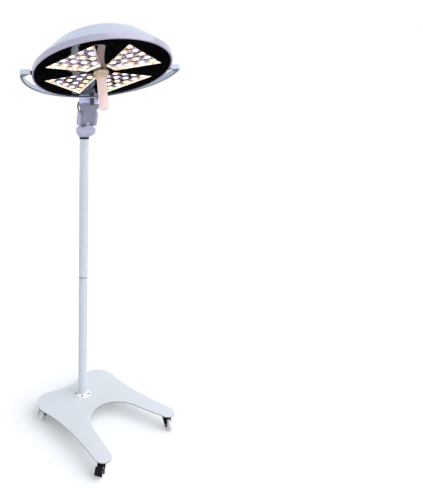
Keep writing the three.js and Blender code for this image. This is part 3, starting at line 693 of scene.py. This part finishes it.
def castor(name):
    swivel = JOINTS[f"castor_{name}_swivel"]
    x, y, _ = swivel["pos_m"]
    place = local_frame((x, y, 0), JOINTS[f"wheel_{name}_spin"]["axis"], (0, 0, 1))
    axle = place @ move(0, TRAIL, WHEEL_R) @ turn(90 * DEGREE, "Y")

    top = PLATE_LOW.z - 0.3 * MM
    bearing = [
        (0, 67 * MM), (8 * MM, 67 * MM), (8 * MM, 69.5 * MM), (5 * MM, 69.5 * MM),
        (5 * MM, 76.6 * MM), (16 * MM, 76.6 * MM), (18 * MM, 80.6 * MM), (26 * MM, 80.6 * MM),
        (26 * MM, top), (0, top),
    ]
    shape = Shape().turned(rounded(bearing, 0.8 * MM, closed=False), place, 0, 48)
    skin(f"castor_{name}_plate", shape, STEEL)

    cheek = (
        [(-15 * MM, 75.5 * MM), (-15 * MM, 64 * MM), (TRAIL - 9 * MM, WHEEL_R - 2 * MM)]
        + arc(TRAIL, WHEEL_R, 9 * MM, math.pi * 1.12, math.pi * 2.0, 20)
        + [(19 * MM, 66 * MM), (15 * MM, 75.5 * MM)]
    )
    shape = Shape()
    crown = [
        (5.5 * MM, 72.2 * MM), (17.5 * MM, 72.2 * MM), (17.5 * MM, 76.2 * MM), (5.5 * MM, 76.2 * MM),
        (5.5 * MM, 72.2 * MM),
    ]
    shape.turned(rounded(crown, 1 * MM, closed=False), place, 0, 48)
    across(shape, cheek, 14 * MM, 16.5 * MM, 0.8 * MM, place)
    across(shape, cheek, -16.5 * MM, -14 * MM, 0.8 * MM, place)
    braked = f"brake_{name}_press" in JOINTS
    if not braked:
        bridge = rectangle(-15 * MM, 58.5 * MM, 24 * MM, 75.5 * MM, 4 * MM)
        across(shape, bridge, -14.2 * MM, 14.2 * MM, 0.6 * MM, place)
    skin(f"castor_{name}_fork", shape, BLACK_PLASTIC)

    tread = [
        (20 * MM, -9 * MM), (23 * MM, -10.6 * MM), (25 * MM, -10.8 * MM), (27.2 * MM, -9.6 * MM),
        (28 * MM, -6 * MM), (28 * MM, 6 * MM), (27.2 * MM, 9.6 * MM), (25 * MM, 10.8 * MM),
        (23 * MM, 10.6 * MM), (20 * MM, 9 * MM), (20 * MM, -9 * MM),
    ]
    core = [
        (4.4 * MM, -13 * MM), (10.5 * MM, -13 * MM), (11.5 * MM, -9.5 * MM), (13 * MM, -7.5 * MM),
        (19 * MM, -7 * MM), (20.5 * MM, -9.5 * MM), (22 * MM, -9.8 * MM), (22 * MM, 9.8 * MM),
        (20.5 * MM, 9.5 * MM), (19 * MM, 7 * MM), (13 * MM, 7.5 * MM), (11.5 * MM, 9.5 * MM),
        (10.5 * MM, 13 * MM), (4.4 * MM, 13 * MM), (4.4 * MM, -13 * MM),
    ]
    shape = Shape()
    shape.turned(rounded(tread, 1.2 * MM, closed=False), axle, 0, 72)
    shape.turned(rounded(core, 0.8 * MM, closed=False), axle, 1, 72)
    skin(f"castor_{name}_wheel", shape, TYRE, HUB_WHITE)

    shape = Shape()
    for side in (1, -1):
        end = axle @ (STILL if side > 0 else turn(180 * DEGREE, "X")) @ move(0, 0, 16.6 * MM)
        socket_screw(shape, 6.3 * MM, 3.2 * MM, end, 0, 1)
    shape.turned(
        [(0, -16.5 * MM), (AXLE_R, -16.5 * MM), (AXLE_R, 16.5 * MM), (0, 16.5 * MM)], axle, 0, 32
    )
    skin(f"castor_{name}_axle", shape, STEEL, RUBBER)

    if braked:
        brake_pedal(name, place)


def brake_pedal(name, place):
    """A tongue between the cheeks, and a ribbed hood that follows the wheel down."""
    tongue = (
        [(8 * MM, 59 * MM), (42 * MM, 56.5 * MM), (42 * MM, 60.5 * MM), (8 * MM, 66 * MM)]
        + arc(8 * MM, 62.5 * MM, 3.5 * MM, 90 * DEGREE, 270 * DEGREE, 12)[1:-1]
    )
    outer, inner = WHEEL_R + 9.5 * MM, WHEEL_R + 6 * MM
    hood = arc(TRAIL, WHEEL_R, outer, 65 * DEGREE, 8 * DEGREE, 28) + arc(
        TRAIL, WHEEL_R, inner, 8 * DEGREE, 65 * DEGREE, 28
    )
    shape = Shape()
    across(shape, tongue, -13 * MM, 13 * MM, 1 * MM, place)
    across(shape, hood, -17.5 * MM, 17.5 * MM, 1.2 * MM, place)
    for index in range(5):
        angle = (16 + index * 9) * DEGREE
        rib = arc(
            TRAIL + (outer - 0.4 * MM) * math.cos(angle),
            WHEEL_R + (outer - 0.4 * MM) * math.sin(angle), 0.9 * MM, 0, 2 * math.pi, 12,
        )[:-1]
        across(shape, rib, -14 * MM, 14 * MM, 0.3 * MM, place)
    skin(f"castor_{name}_brake", shape, BLACK_PLASTIC)


# ------------------------------------------------------------------ knuckle

HINGE = (-38 * MM, JOINTS["arm_tilt"]["pos_m"][2])
LUG_R = 14 * MM
SCREW_DROP = 14 * MM


def box_level(inset, radius, z):
    outline = rectangle(-33 * MM + inset, -70 * MM, 33 * MM - inset, 27 * MM, radius)
    return [(x, y, z) for x, y in outline]


def housing():
    """A body that rises from a round foot to a long box, and the lug that holds the hinge pin."""
    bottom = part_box("swivel_housing")[0].z
    crease, shoulder, top = bottom + 19.5 * MM, bottom + 39.5 * MM, bottom + 49.5 * MM
    points = [(x, y, bottom) for x, y in circle(22 * MM, 48)]
    points += [(x, y, bottom + 1 * MM) for x, y in circle(23 * MM, 48)]
    points += box_level(1.5 * MM, 12 * MM, crease - 1.2 * MM)
    points += box_level(0.4 * MM, 12 * MM, crease + 0.2 * MM)
    points += box_level(0, 12 * MM, crease + 2 * MM)
    points += box_level(0, 12 * MM, shoulder - 2 * MM)
    points += box_level(0.5 * MM, 12 * MM, shoulder)
    points += box_level(1.6 * MM, 12 * MM, shoulder + 1.2 * MM)
    points += box_level(12 * MM, 7 * MM, top - 0.7 * MM)
    points += box_level(13.5 * MM, 6 * MM, top)
    hull = bmesh.new()
    for point in points:
        hull.verts.new(point)
    bmesh.ops.convex_hull(hull, input=hull.verts)
    bmesh.ops.delete(hull, geom=[v for v in hull.verts if not v.link_faces], context="VERTS")
    bmesh.ops.dissolve_limit(hull, angle_limit=0.5 * DEGREE, verts=hull.verts, edges=hull.edges)
    shape = Shape().take(hull, KNUCKLE)
    lug = [(HINGE[0] - LUG_R, top - 10 * MM), (HINGE[0] + LUG_R, top - 10 * MM)] + arc(
        *HINGE, LUG_R, 0, math.pi, 28
    )
    across(shape, lug, -11 * MM, 11 * MM, 1 * MM, KNUCKLE)
    skin("swivel_housing", shape, KNUCKLE_PAINT)
    dress("arm_hinge_pin", STEEL)

    place = KNUCKLE @ move(0, HINGE[0] - LUG_R - 0.3 * MM, HINGE[1] - SCREW_DROP)
    place = place @ turn(90 * DEGREE, "X")
    shape = Shape()
    socket_screw(shape, 5 * MM, 4.4 * MM, place, 0, 1)
    shape.turned(
        rounded([(0, -12 * MM), (3 * MM, -12 * MM), (3 * MM, 0), (0, 0)], 0.3 * MM, closed=False),
        place, 0, 32,
    )
    # The tension screw takes the near-white steel, a painted highlight.
    skin("tension_screw", shape, STEEL_GLINT, RUBBER)


def arm():
    """The arm's front view met by its side view, with the shelf on top and the slot cut out."""
    lean = KNUCKLE @ move(0, *HINGE) @ turn(ARM_LEAN, "X")
    flare = bezier(
        (30 * MM, 41 * MM), (31.3 * MM, 52 * MM), (34.7 * MM, 60 * MM), (40 * MM, 64 * MM), 12
    )
    right = [(30 * MM, -25 * MM), (30 * MM, 41 * MM), *flare, (40 * MM, 64 * MM), (40 * MM, 80 * MM)]
    front = right + [(-x, z) for x, z in reversed(right)]
    side = [(20 * MM, 90 * MM), (-20 * MM, 90 * MM)] + arc(0, 0, 20 * MM, math.pi, 2 * math.pi, 28)
    body = solid("arm", Shape().flat([front], -30 * MM, 30 * MM, 0, lean @ turn(90 * DEGREE, "X")))
    profile = Shape()
    across(profile, side, -60 * MM, 60 * MM, 0, lean)
    combine(body, profile, "INTERSECT")

    shelf_top = JOINTS["yoke_swivel"]["pos_m"][2]
    shelf = rectangle(-40 * MM, -85 * MM, 40 * MM, -35 * MM, 6 * MM)
    raised = Shape().flat([shelf], shelf_top - 8 * MM, shelf_top + 3 * MM, 0, KNUCKLE)
    combine(body, raised, "UNION")
    block = [(-200 * MM, -200 * MM), (200 * MM, -200 * MM), (200 * MM, 200 * MM), (-200 * MM, 200 * MM)]
    combine(body, Shape().flat([block], shelf_top, shelf_top + 50 * MM, 0, KNUCKLE), "DIFFERENCE")
    reach = LUG_R + 0.8 * MM
    rise = math.asin(5 * MM / reach)
    opening = [(-60 * MM, 5 * MM), (-60 * MM, -40 * MM), (60 * MM, -40 * MM), (60 * MM, 5 * MM)]
    slot = Shape()
    across(slot, opening + arc(0, 0, reach, rise, math.pi - rise, 20), -11.4 * MM, 11.4 * MM, 0, lean)
    combine(body, slot, "DIFFERENCE")
    bevel = body.modifiers.new("edges", "BEVEL")
    bevel.width = 1.6 * MM
    bevel.segments = 4
    bevel.limit_method = "ANGLE"
    bevel.angle_limit = 28 * DEGREE
    shape = Shape()
    shape.bm.from_mesh(evaluated(body))
    bpy.data.objects.remove(body)
    # The arm body takes the darkened paint, painted shade.
    skin("arm_body", shape, ARM_PAINT_SHADED, sharp=40)

    for node, sign in (("arm_cover_left", -1), ("arm_cover_right", 1)):
        near, far = sorted((sign * 30.3 * MM, sign * 43 * MM))
        shape = Shape()
        cover = rectangle(-18 * MM, -18 * MM, 18 * MM, 44 * MM, 14 * MM)
        across(shape, cover, near, far, 3.4 * MM, lean)
        cap = lean @ turn(sign * 90 * DEGREE, "Y") @ move(0, 0, 42.6 * MM)
        shape.turned(
            rounded([(0, -1 * MM), (7 * MM, -1 * MM), (7 * MM, 0.4 * MM), (0, 0.4 * MM)],
                    0.3 * MM, closed=False), cap, 0, 40,
        )
        skin(node, shape, KNUCKLE_PAINT)


def solid(name, shape):
    obj = bpy.data.objects.new(name, shape.mesh(name))
    bpy.context.scene.collection.objects.link(obj)
    return obj


def combine(obj, shape, operation):
    """A boolean between the object's mesh and the shape, applied at once."""
    tool = solid("tool", shape)
    modifier = obj.modifiers.new("combine", "BOOLEAN")
    modifier.operation = operation
    modifier.solver = "MANIFOLD"
    modifier.object = tool
    mesh = evaluated(obj)
    obj.modifiers.clear()
    obj.data = mesh
    bpy.data.objects.remove(tool)


ARM_LEAD_R = 2.8 * MM
HEAD_LEAD_R = 2.4 * MM


def arm_lead():
    """The short loop from the arm's left cover to the yoke block."""
    shelf_z = JOINTS["yoke_swivel"]["pos_m"][2]
    points = [
        (-40.5, -51.5, -29), (-43, -52, -25), (-45.5, -52.5, -20), (-47.5, -54, -9),
        (-46, -55.5, 1), (-43.5, -56.2, 5.5), (-42, -56.5, 9),
    ]
    places = [(x * MM, y * MM, shelf_z + z * MM) for x, y, z in points]
    shape = Shape().swept(places, ARM_LEAD_R, KNUCKLE)
    obj = bpy.data.objects.new("arm_lead_skin", shape.mesh("arm_lead", 60))
    bpy.context.scene.collection.objects.link(obj)
    obj.data.materials.append(RUBBER)
    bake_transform(obj)
    short_lead(places, KNUCKLE)
    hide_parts("arm_lead")


# ------------------------------------------------------------------ yoke

YOKE_R = 292 * MM
YOKE_THICK = 10 * MM
YOKE_HEIGHT = 18.5 * MM
BOSS_HALF = 13 * MM
BOSS_END = 255 * MM
BLOCK_TOP = 35 * MM
KNOB = (9 * MM, -39.3 * MM)


def yoke():
    inner = YOKE_R - YOKE_THICK
    outer_start = math.asin(6 * MM / YOKE_R)
    inner_start = math.asin(BOSS_HALF / inner)
    corner = bezier(
        (YOKE_R - 9 * MM, -BOSS_HALF), (YOKE_R - 3.6 * MM, -BOSS_HALF),
        (YOKE_R + 0.2 * MM, -6 * MM), (YOKE_R * math.cos(outer_start), 6 * MM), 12,
    )
    right = [(BOSS_END, -BOSS_HALF), (YOKE_R - 9 * MM, -BOSS_HALF)] + corner
    fillet = rounded(
        [(BOSS_END, BOSS_HALF), (inner * math.cos(inner_start), BOSS_HALF),
         (inner * math.cos(inner_start + 0.05), inner * math.sin(inner_start + 0.05))],
        5 * MM, closed=False,
    )[1:-1]
    outside = arc(0, 0, YOKE_R, outer_start, math.pi - outer_start, 128)
    inside = arc(0, 0, inner, math.pi - inner_start - 0.05, inner_start + 0.05, 120)
    outline = (
        right + outside + [(-x, y) for x, y in reversed(right)]
        + [(-x, y) for x, y in fillet] + inside + list(reversed(fillet))
    )
    shape = Shape().flat(
        [outline], -YOKE_HEIGHT / 2, YOKE_HEIGHT / 2, 2.2 * MM, ARCH, steps=5
    )
    shape.bm.normal_update()
    # Faces that turn downwards take the dark grey: painted shade on the yoke's underside.
    below = ARCH.to_3x3() @ Vector((0, 0, -1))
    for face in shape.bm.faces:
        if face.normal.dot(below) > 0.5:
            face.material_index = 2
    for sign in (-1, 1):
        socket_screw(
            shape, 3.2 * MM, 2 * MM, ARCH @ move(sign * 262 * MM, 0, YOKE_HEIGHT / 2 - 0.2 * MM), 1, 1
        )
    skin("yoke_ring", shape, YOKE_PAINT, RUBBER, YOKE_UNDERSIDE_SHADE)

    shape = Shape()
    outline = rectangle(-39.5 * MM, -25 * MM, 39.5 * MM, 25 * MM, 5 * MM)
    shape.flat([outline], 1.8 * MM, 17.5 * MM, 1.6 * MM, YOKE)
    shape.flat([outline], 17.5 * MM, BLOCK_TOP, 1.6 * MM, YOKE)
    lip = rectangle(KNOB[0] - 12 * MM, KNOB[1] - 10.5 * MM, KNOB[0] + 12 * MM, -15 * MM, 5 * MM)
    shape.flat([lip], 22 * MM, 33 * MM, 1.2 * MM, YOKE)
    # The block takes the brightened paint, painted light.
    skin("yoke_block", shape, BLOCK_PAINT_LIT)

    shape = Shape()
    knob = [
        (0, -6 * MM), (8.2 * MM, -6 * MM), (8.9 * MM, 19.5 * MM), (8.2 * MM, 21.5 * MM),
        (3 * MM, 21.5 * MM), (3 * MM, 29.4 * MM), (0, 29.4 * MM),
    ]
    place = YOKE @ move(*KNOB, 0)
    shape.turned(rounded(knob, 1 * MM, closed=False), place, 0, 64)
    for index in range(20):
        rib = place @ turn(index * 18 * DEGREE, "Z") @ move(8.7 * MM, 0, 0)
        shape.flat([circle(0.7 * MM, 10)], -4.5 * MM, 17.5 * MM, 0.3 * MM, rib)
    skin("dimmer_knob", shape, GREY_PLASTIC)

    points = [
        (33, -24, 18), (33.3, -30, 18), (34, -37.5, 22), (34.5, -38.5, 31), (34.8, -35, 38),
        (35, -27, 41), (35, -19.5, 40.5),
    ]
    places = [(x * MM, y * MM, z * MM) for x, y, z in points]
    obj = skin("head_lead", Shape().swept(places, HEAD_LEAD_R, YOKE), RUBBER, sharp=60)
    short_lead(places, YOKE)


# ------------------------------------------------------------------ lamp head

RIM_R = 250 * MM
PANEL_R = 241 * MM
PANEL_THICK = 4 * MM
BAND_TOP = 17 * MM
DOME_POINTS = [
    (248.5, 17.3), (231, 36), (209, 54.5), (172, 86), (115, 114.5), (58, 128.5), (0, 133)
]
WINDOW_TURN = 44 * DEGREE
WINDOW = {"inner": 41 * MM, "inner_half": 30 * MM, "outer": 185 * MM, "outer_half": 106 * MM}
LENS_ROWS = (5, 4, 3, 2)
LENS_PITCH = 38 * MM
LENS_R = 11.8 * MM
FIRST_ROW = 167 * MM
ROW_STEP = LENS_PITCH * math.sin(60 * DEGREE) * 1.03
CARRIER_Z = 10 * MM


def smooth_curve(points, steps=9):
    """A Catmull-Rom curve through the points."""
    ends = [points[0], *points, points[-1]]
    result = []
    for a, b, c, d in zip(ends, ends[1:], ends[2:], ends[3:]):
        for index in range(steps):
            t = index / steps
            result.append(tuple(
                0.5 * (2 * q + (r - p) * t + (2 * p - 5 * q + 4 * r - s) * t * t
                       + (3 * q - p - 3 * r + s) * t**3)
                for p, q, r, s in zip(a, b, c, d)
            ))
    return result + [points[-1]]


def lamp_shell():
    outside = smooth_curve([(r * MM, z * MM) for r, z in DOME_POINTS])
    lip = [(244 * MM, BAND_TOP + 1.2 * MM), (246 * MM, BAND_TOP + 0.3 * MM)]
    inside = [(max(r - 2.4 * MM, 0), z - 1.6 * MM) for r, z in outside[6:]]
    profile = lip + outside + list(reversed(inside)) + lip[:1]
    shape = Shape().turned(profile, HEAD, 0, 160)
    skin("dome_shell", shape, DOME_GLOSS, sharp=50)

    band = [
        (PANEL_R + 3.6 * MM, 1.5 * MM), (PANEL_R + 3.6 * MM, -2 * MM), (RIM_R - 0.4 * MM, -2 * MM),
        (RIM_R, 1 * MM), (RIM_R, BAND_TOP), (RIM_R - 3 * MM, BAND_TOP), (RIM_R - 3 * MM, 1.5 * MM),
        (PANEL_R + 3.6 * MM, 1.5 * MM),
    ]
    shape = Shape().turned(rounded(band, 1.2 * MM, closed=False), HEAD, 0, 160)
    skin("rim_band", shape, BAND_GLOSS)
    gasket = [
        (PANEL_R + 0.3 * MM, 3 * MM), (PANEL_R + 0.3 * MM, -0.8 * MM), (PANEL_R + 3.4 * MM, -0.8 * MM),
        (PANEL_R + 3.4 * MM, 3 * MM), (PANEL_R + 0.3 * MM, 3 * MM),
    ]
    shape = Shape().turned(rounded(gasket, 0.8 * MM, closed=False), HEAD, 0, 160)
    skin("rim_gasket", shape, RUBBER)

    for node, sign in (("pivot_pin_left", -1), ("pivot_pin_right", 1)):
        place = HEAD @ move(0, 0, PIVOT_HEIGHT) @ turn(sign * 90 * DEGREE, "Y")
        pin = [
            (0, 244.6), (5.2, 244.6), (5.2, 246.1), (4, 246.1), (4, 250.4), (8, 250.4), (8, 254.6),
            (4, 254.6), (4, 284), (0, 284),
        ]
        profile = [(r * MM, z * MM) for r, z in pin]
        skin(node, Shape().turned(rounded(profile, 0.5 * MM, closed=False), place, 0, 48), DARK_STEEL)
    for node in ("chassis_plate", "led_driver"):
        dress(node, ALUMINIUM)


def window_outline(grow, angle, radius):
    """A truncated triangle pointing along +Y, turned into its place."""
    lean = (WINDOW["outer_half"] - WINDOW["inner_half"]) / (WINDOW["outer"] - WINDOW["inner"])
    side = grow * (math.hypot(1, lean) + lean)
    near, far = WINDOW["inner"] - grow, WINDOW["outer"] + grow
    near_half = WINDOW["inner_half"] + side - 2 * lean * grow
    far_half = WINDOW["outer_half"] + side
    corners = [(-near_half, near), (near_half, near), (far_half, far), (-far_half, far)]
    cosine, sine = math.cos(angle), math.sin(angle)
    return [
        (x * cosine - y * sine, x * sine + y * cosine) for x, y in rounded(corners, radius, steps=4)
    ]


def window_angles():
    return [WINDOW_TURN + (index - 1) * 90 * DEGREE for index in range(4)]


def lamp_face():
    windows = [window_outline(0, angle, 2 * MM) for angle in window_angles()]
    shape = Shape().flat(
        [circle(PANEL_R, 192), *windows, circle(14 * MM, 48)], 0, PANEL_THICK, 0.5 * MM, HEAD
    )
    for angle in window_angles():
        for radius, distance in ((3 * MM, 37 * MM), (3.4 * MM, 212 * MM)):
            between = angle + 45 * DEGREE
            place = HEAD @ turn(between, "Z") @ move(0, distance, 0) @ turn(180 * DEGREE, "X")
            socket_screw(shape, radius, 1.6 * MM, place @ move(0, 0, -0.2 * MM), 1, 2)
    skin("face_panel", shape, PANEL_BLACK, BLACK_PLASTIC, RUBBER)
    for index, angle in enumerate(window_angles()):
        dress(f"led_board_{index + 1}", BOARD_WHITE)
        # The first two windows take the carrier with less painted glow.
        lens_array(f"lens_array_{index + 1}", angle, CARRIER_DIM_GLOW if index < 2 else CARRIER_BRIGHT_GLOW)


def lens_array(node, angle, carrier):
    """A carrier behind a pale liner whose walls carry painted lens glow and reflections, with 14 lit
    lenses and small clear domes between.
    """
    shape = Shape()
    shape.flat([window_outline(2.4 * MM, angle, 3 * MM)], CARRIER_Z, CARRIER_Z + 1.8 * MM, 0, HEAD)
    liner = [window_outline(-0.3 * MM, angle, 2 * MM), window_outline(-1.8 * MM, angle, 1.4 * MM)]
    # The liner's upright walls take the painted lens glow and reflections.
    shape.flat(liner, 0.3 * MM, CARRIER_Z + 0.4 * MM, 0.2 * MM, HEAD, wall=1)
    radius_of = shape.bm.verts.layers.float.new("lens_radius")
    for row, count in enumerate(LENS_ROWS):
        y = FIRST_ROW - row * ROW_STEP
        for index in range(count):
            x = (index - (count - 1) / 2) * LENS_PITCH
            place = HEAD @ turn(angle, "Z") @ move(x, y, 0)
            lens(shape, radius_of, place, 2 + (row + index) % 2)
            if index < count - 1:
                between = place @ move(LENS_PITCH / 2, -ROW_STEP / 3, 0)
                dome = [(0, 6.4), (2.6, 6.9), (4.4, 8), (5, 9.6), (5, 10.2)]
                shape.turned([(r * MM, z * MM) for r, z in dome], between, 5, 24)
                collar = [(5.2, 10.1), (5.2, 9.0), (6.4, 9.0), (6.4, 10.1)]
                shape.turned([(r * MM, z * MM) for r, z in collar], between, 4, 24)
    skin(node, shape, carrier, WINDOW_WALL_GLOW, LENS_WARM, LENS_COOL, LENS_SIDE, LENS_SMALL)


def lens(shape, radius_of, place, front_material):
    """A lit front with a moulded rim, and a clear side that narrows to the carrier."""
    first = len(shape.bm.verts)
    front = [(0, 5.6), (3, 5.65), (6, 5.9), (9, 6.5), (11, 7.2), (11.8, 7.7)]
    shape.turned([(r * MM, z * MM) for r, z in front], place, front_material, 40)
    shape.bm.verts.ensure_lookup_table()
    inverse = place.inverted()
    for index in range(first, len(shape.bm.verts)):
        vert = shape.bm.verts[index]
        vert[radius_of] = (inverse @ vert.co).to_2d().length / LENS_R
    side = [(11.8, 7.7), (12.7, 8), (13, 8.6), (12.6, 9.4), (11, 10.2)]
    shape.turned([(r * MM, z * MM) for r, z in side], place, 4, 40)


def handle():
    hub_r = 26.5 * MM
    depth = 21.5 * MM
    hub = [
        (13 * MM, 2 * MM), (13 * MM, -0.3 * MM), (hub_r + 1.5 * MM, -0.3 * MM),
        (hub_r + 1.5 * MM, -5 * MM), (hub_r - 2.5 * MM, -7 * MM), (hub_r - 3 * MM, -depth + 2 * MM),
        (hub_r - 4.5 * MM, -depth), (12 * MM, -depth), (12 * MM, -100 * MM), (0, -100 * MM),
    ]
    shape = Shape().turned(rounded(hub, 1.4 * MM, closed=False), HEAD, 0, 96)
    for angle in window_angles():
        place = HEAD @ turn(angle, "Z") @ move(0, hub_r - 0.6 * MM, -6.2 * MM) @ turn(180 * DEGREE, "X")
        socket_screw(shape, 1.5 * MM, 1 * MM, place, 1, 1)
    skin("handle_hub", shape, HUB_CREAM, RUBBER)

    radius, end = 17.3 * MM, 133 * MM
    sleeve = [
        (0, -end), (radius - 0.6 * MM, -end), (radius - 0.3 * MM, -end + 12 * MM),
        (radius, -end + 60 * MM), (radius, -depth - 6 * MM), (radius - 0.9 * MM, -depth - 5.4 * MM),
        (radius - 0.9 * MM, -depth - 4.2 * MM), (radius, -depth - 3.6 * MM), (radius, -depth - 0.4 * MM),
        (12.7 * MM, -depth - 0.4 * MM), (12.7 * MM, -105.5 * MM), (0, -105.5 * MM),
    ]
    shape = Shape().turned(rounded(sleeve, 4 * MM, closed=False, steps=8), HEAD, 0, 96)
    skin("handle_sleeve", shape, HANDLE_WHITE)


# ------------------------------------------------------------------ studio


def studio():
    """A pale floor, a sky that is white at the horizon and dark below it, and a broad soft sun."""
    floor = bpy.data.meshes.new("floor")
    grid = bmesh.new()
    bmesh.ops.create_grid(grid, x_segments=2, y_segments=2, size=300)
    grid.to_mesh(floor)
    grid.free()
    obj = bpy.data.objects.new("floor", floor)
    obj.visible_glossy = False
    bpy.context.scene.collection.objects.link(obj)
    obj.data.materials.append(surface(
        "floor", (0.95, 0.95, 0.945), (0.97, 0.97, 0.965), patch=0.6, rough=(0.6, 0.8),
        grain=60, relief=0.0, specular=0.1,
    ))

    world = bpy.data.worlds.new("studio")
    world.use_nodes = True
    nodes, links = world.node_tree.nodes, world.node_tree.links
    place = nodes.new("ShaderNodeTexCoord")
    height = nodes.new("ShaderNodeSeparateXYZ")
    ramp = nodes.new("ShaderNodeValToRGB")
    half = nodes.new("ShaderNodeMath")
    half.operation = "MULTIPLY_ADD"
    half.inputs[1].default_value = 0.5
    half.inputs[2].default_value = 0.5
    elements = ramp.color_ramp.elements
    elements[0].position, elements[0].color = 0.44, (0.006, 0.006, 0.007, 1)
    elements[1].position, elements[1].color = 0.46, (1.0, 1.0, 1.0, 1)
    elements.new(0.62).color = (1.0, 1.0, 1.0, 1)
    elements.new(0.85).color = (0.40, 0.43, 0.50, 1)
    links.new(place.outputs["Generated"], height.inputs["Vector"])
    links.new(height.outputs["Z"], half.inputs[0])
    links.new(half.outputs["Value"], ramp.inputs["Fac"])
    links.new(ramp.outputs["Color"], nodes["Background"].inputs["Color"])
    bpy.context.scene.world = world
    bpy.context.scene.view_settings.view_transform = "Standard"

    sun = bpy.data.lights.new("sun", "SUN")
    sun.energy = 2.15
    sun.angle = 75 * DEGREE
    obj = bpy.data.objects.new("sun", sun)
    obj.rotation_mode = "QUATERNION"
    obj.rotation_quaternion = Vector((-0.3, 0.75, -1.2)).to_track_quat("-Z", "Y")
    bpy.context.scene.collection.objects.link(obj)


CAMERA_FROM_POLE = (-1.32844, -1.46059)
CAMERA_ABOVE_PLATE = 1.44468
BEARING, PITCH, ROLL = 39.68 * DEGREE, -16.178 * DEGREE, -0.306 * DEGREE


def camera():
    """Stands before the left leg of the base at eye height and looks across the light."""
    data = bpy.data.cameras.new("camera")
    obj = bpy.data.objects.new("camera", data)
    bpy.context.scene.collection.objects.link(obj)
    bpy.context.scene.camera = obj
    data.sensor_width = 36
    data.lens = 30.31
    data.shift_x = 0.2929
    data.shift_y = -0.0207
    data.clip_end = 1000
    look = Vector((
        math.sin(BEARING) * math.cos(PITCH), math.cos(BEARING) * math.cos(PITCH), math.sin(PITCH)
    ))
    obj.location = POLE + Vector((*CAMERA_FROM_POLE, PLATE_HIGH.z + CAMERA_ABOVE_PLATE))
    obj.rotation_mode = "QUATERNION"
    obj.rotation_quaternion = look.to_track_quat("-Z", "Y") @ turn(ROLL, "Z").to_quaternion()


# ------------------------------------------------------------------ the scene

camera()
studio()
base_plate()
flange()
pole()
power_inlet()
for castor_name in ("front_left", "front_right", "rear_left", "rear_right"):
    castor(castor_name)
housing()
arm()
arm_lead()
yoke()
lamp_shell()
lamp_face()
handle()
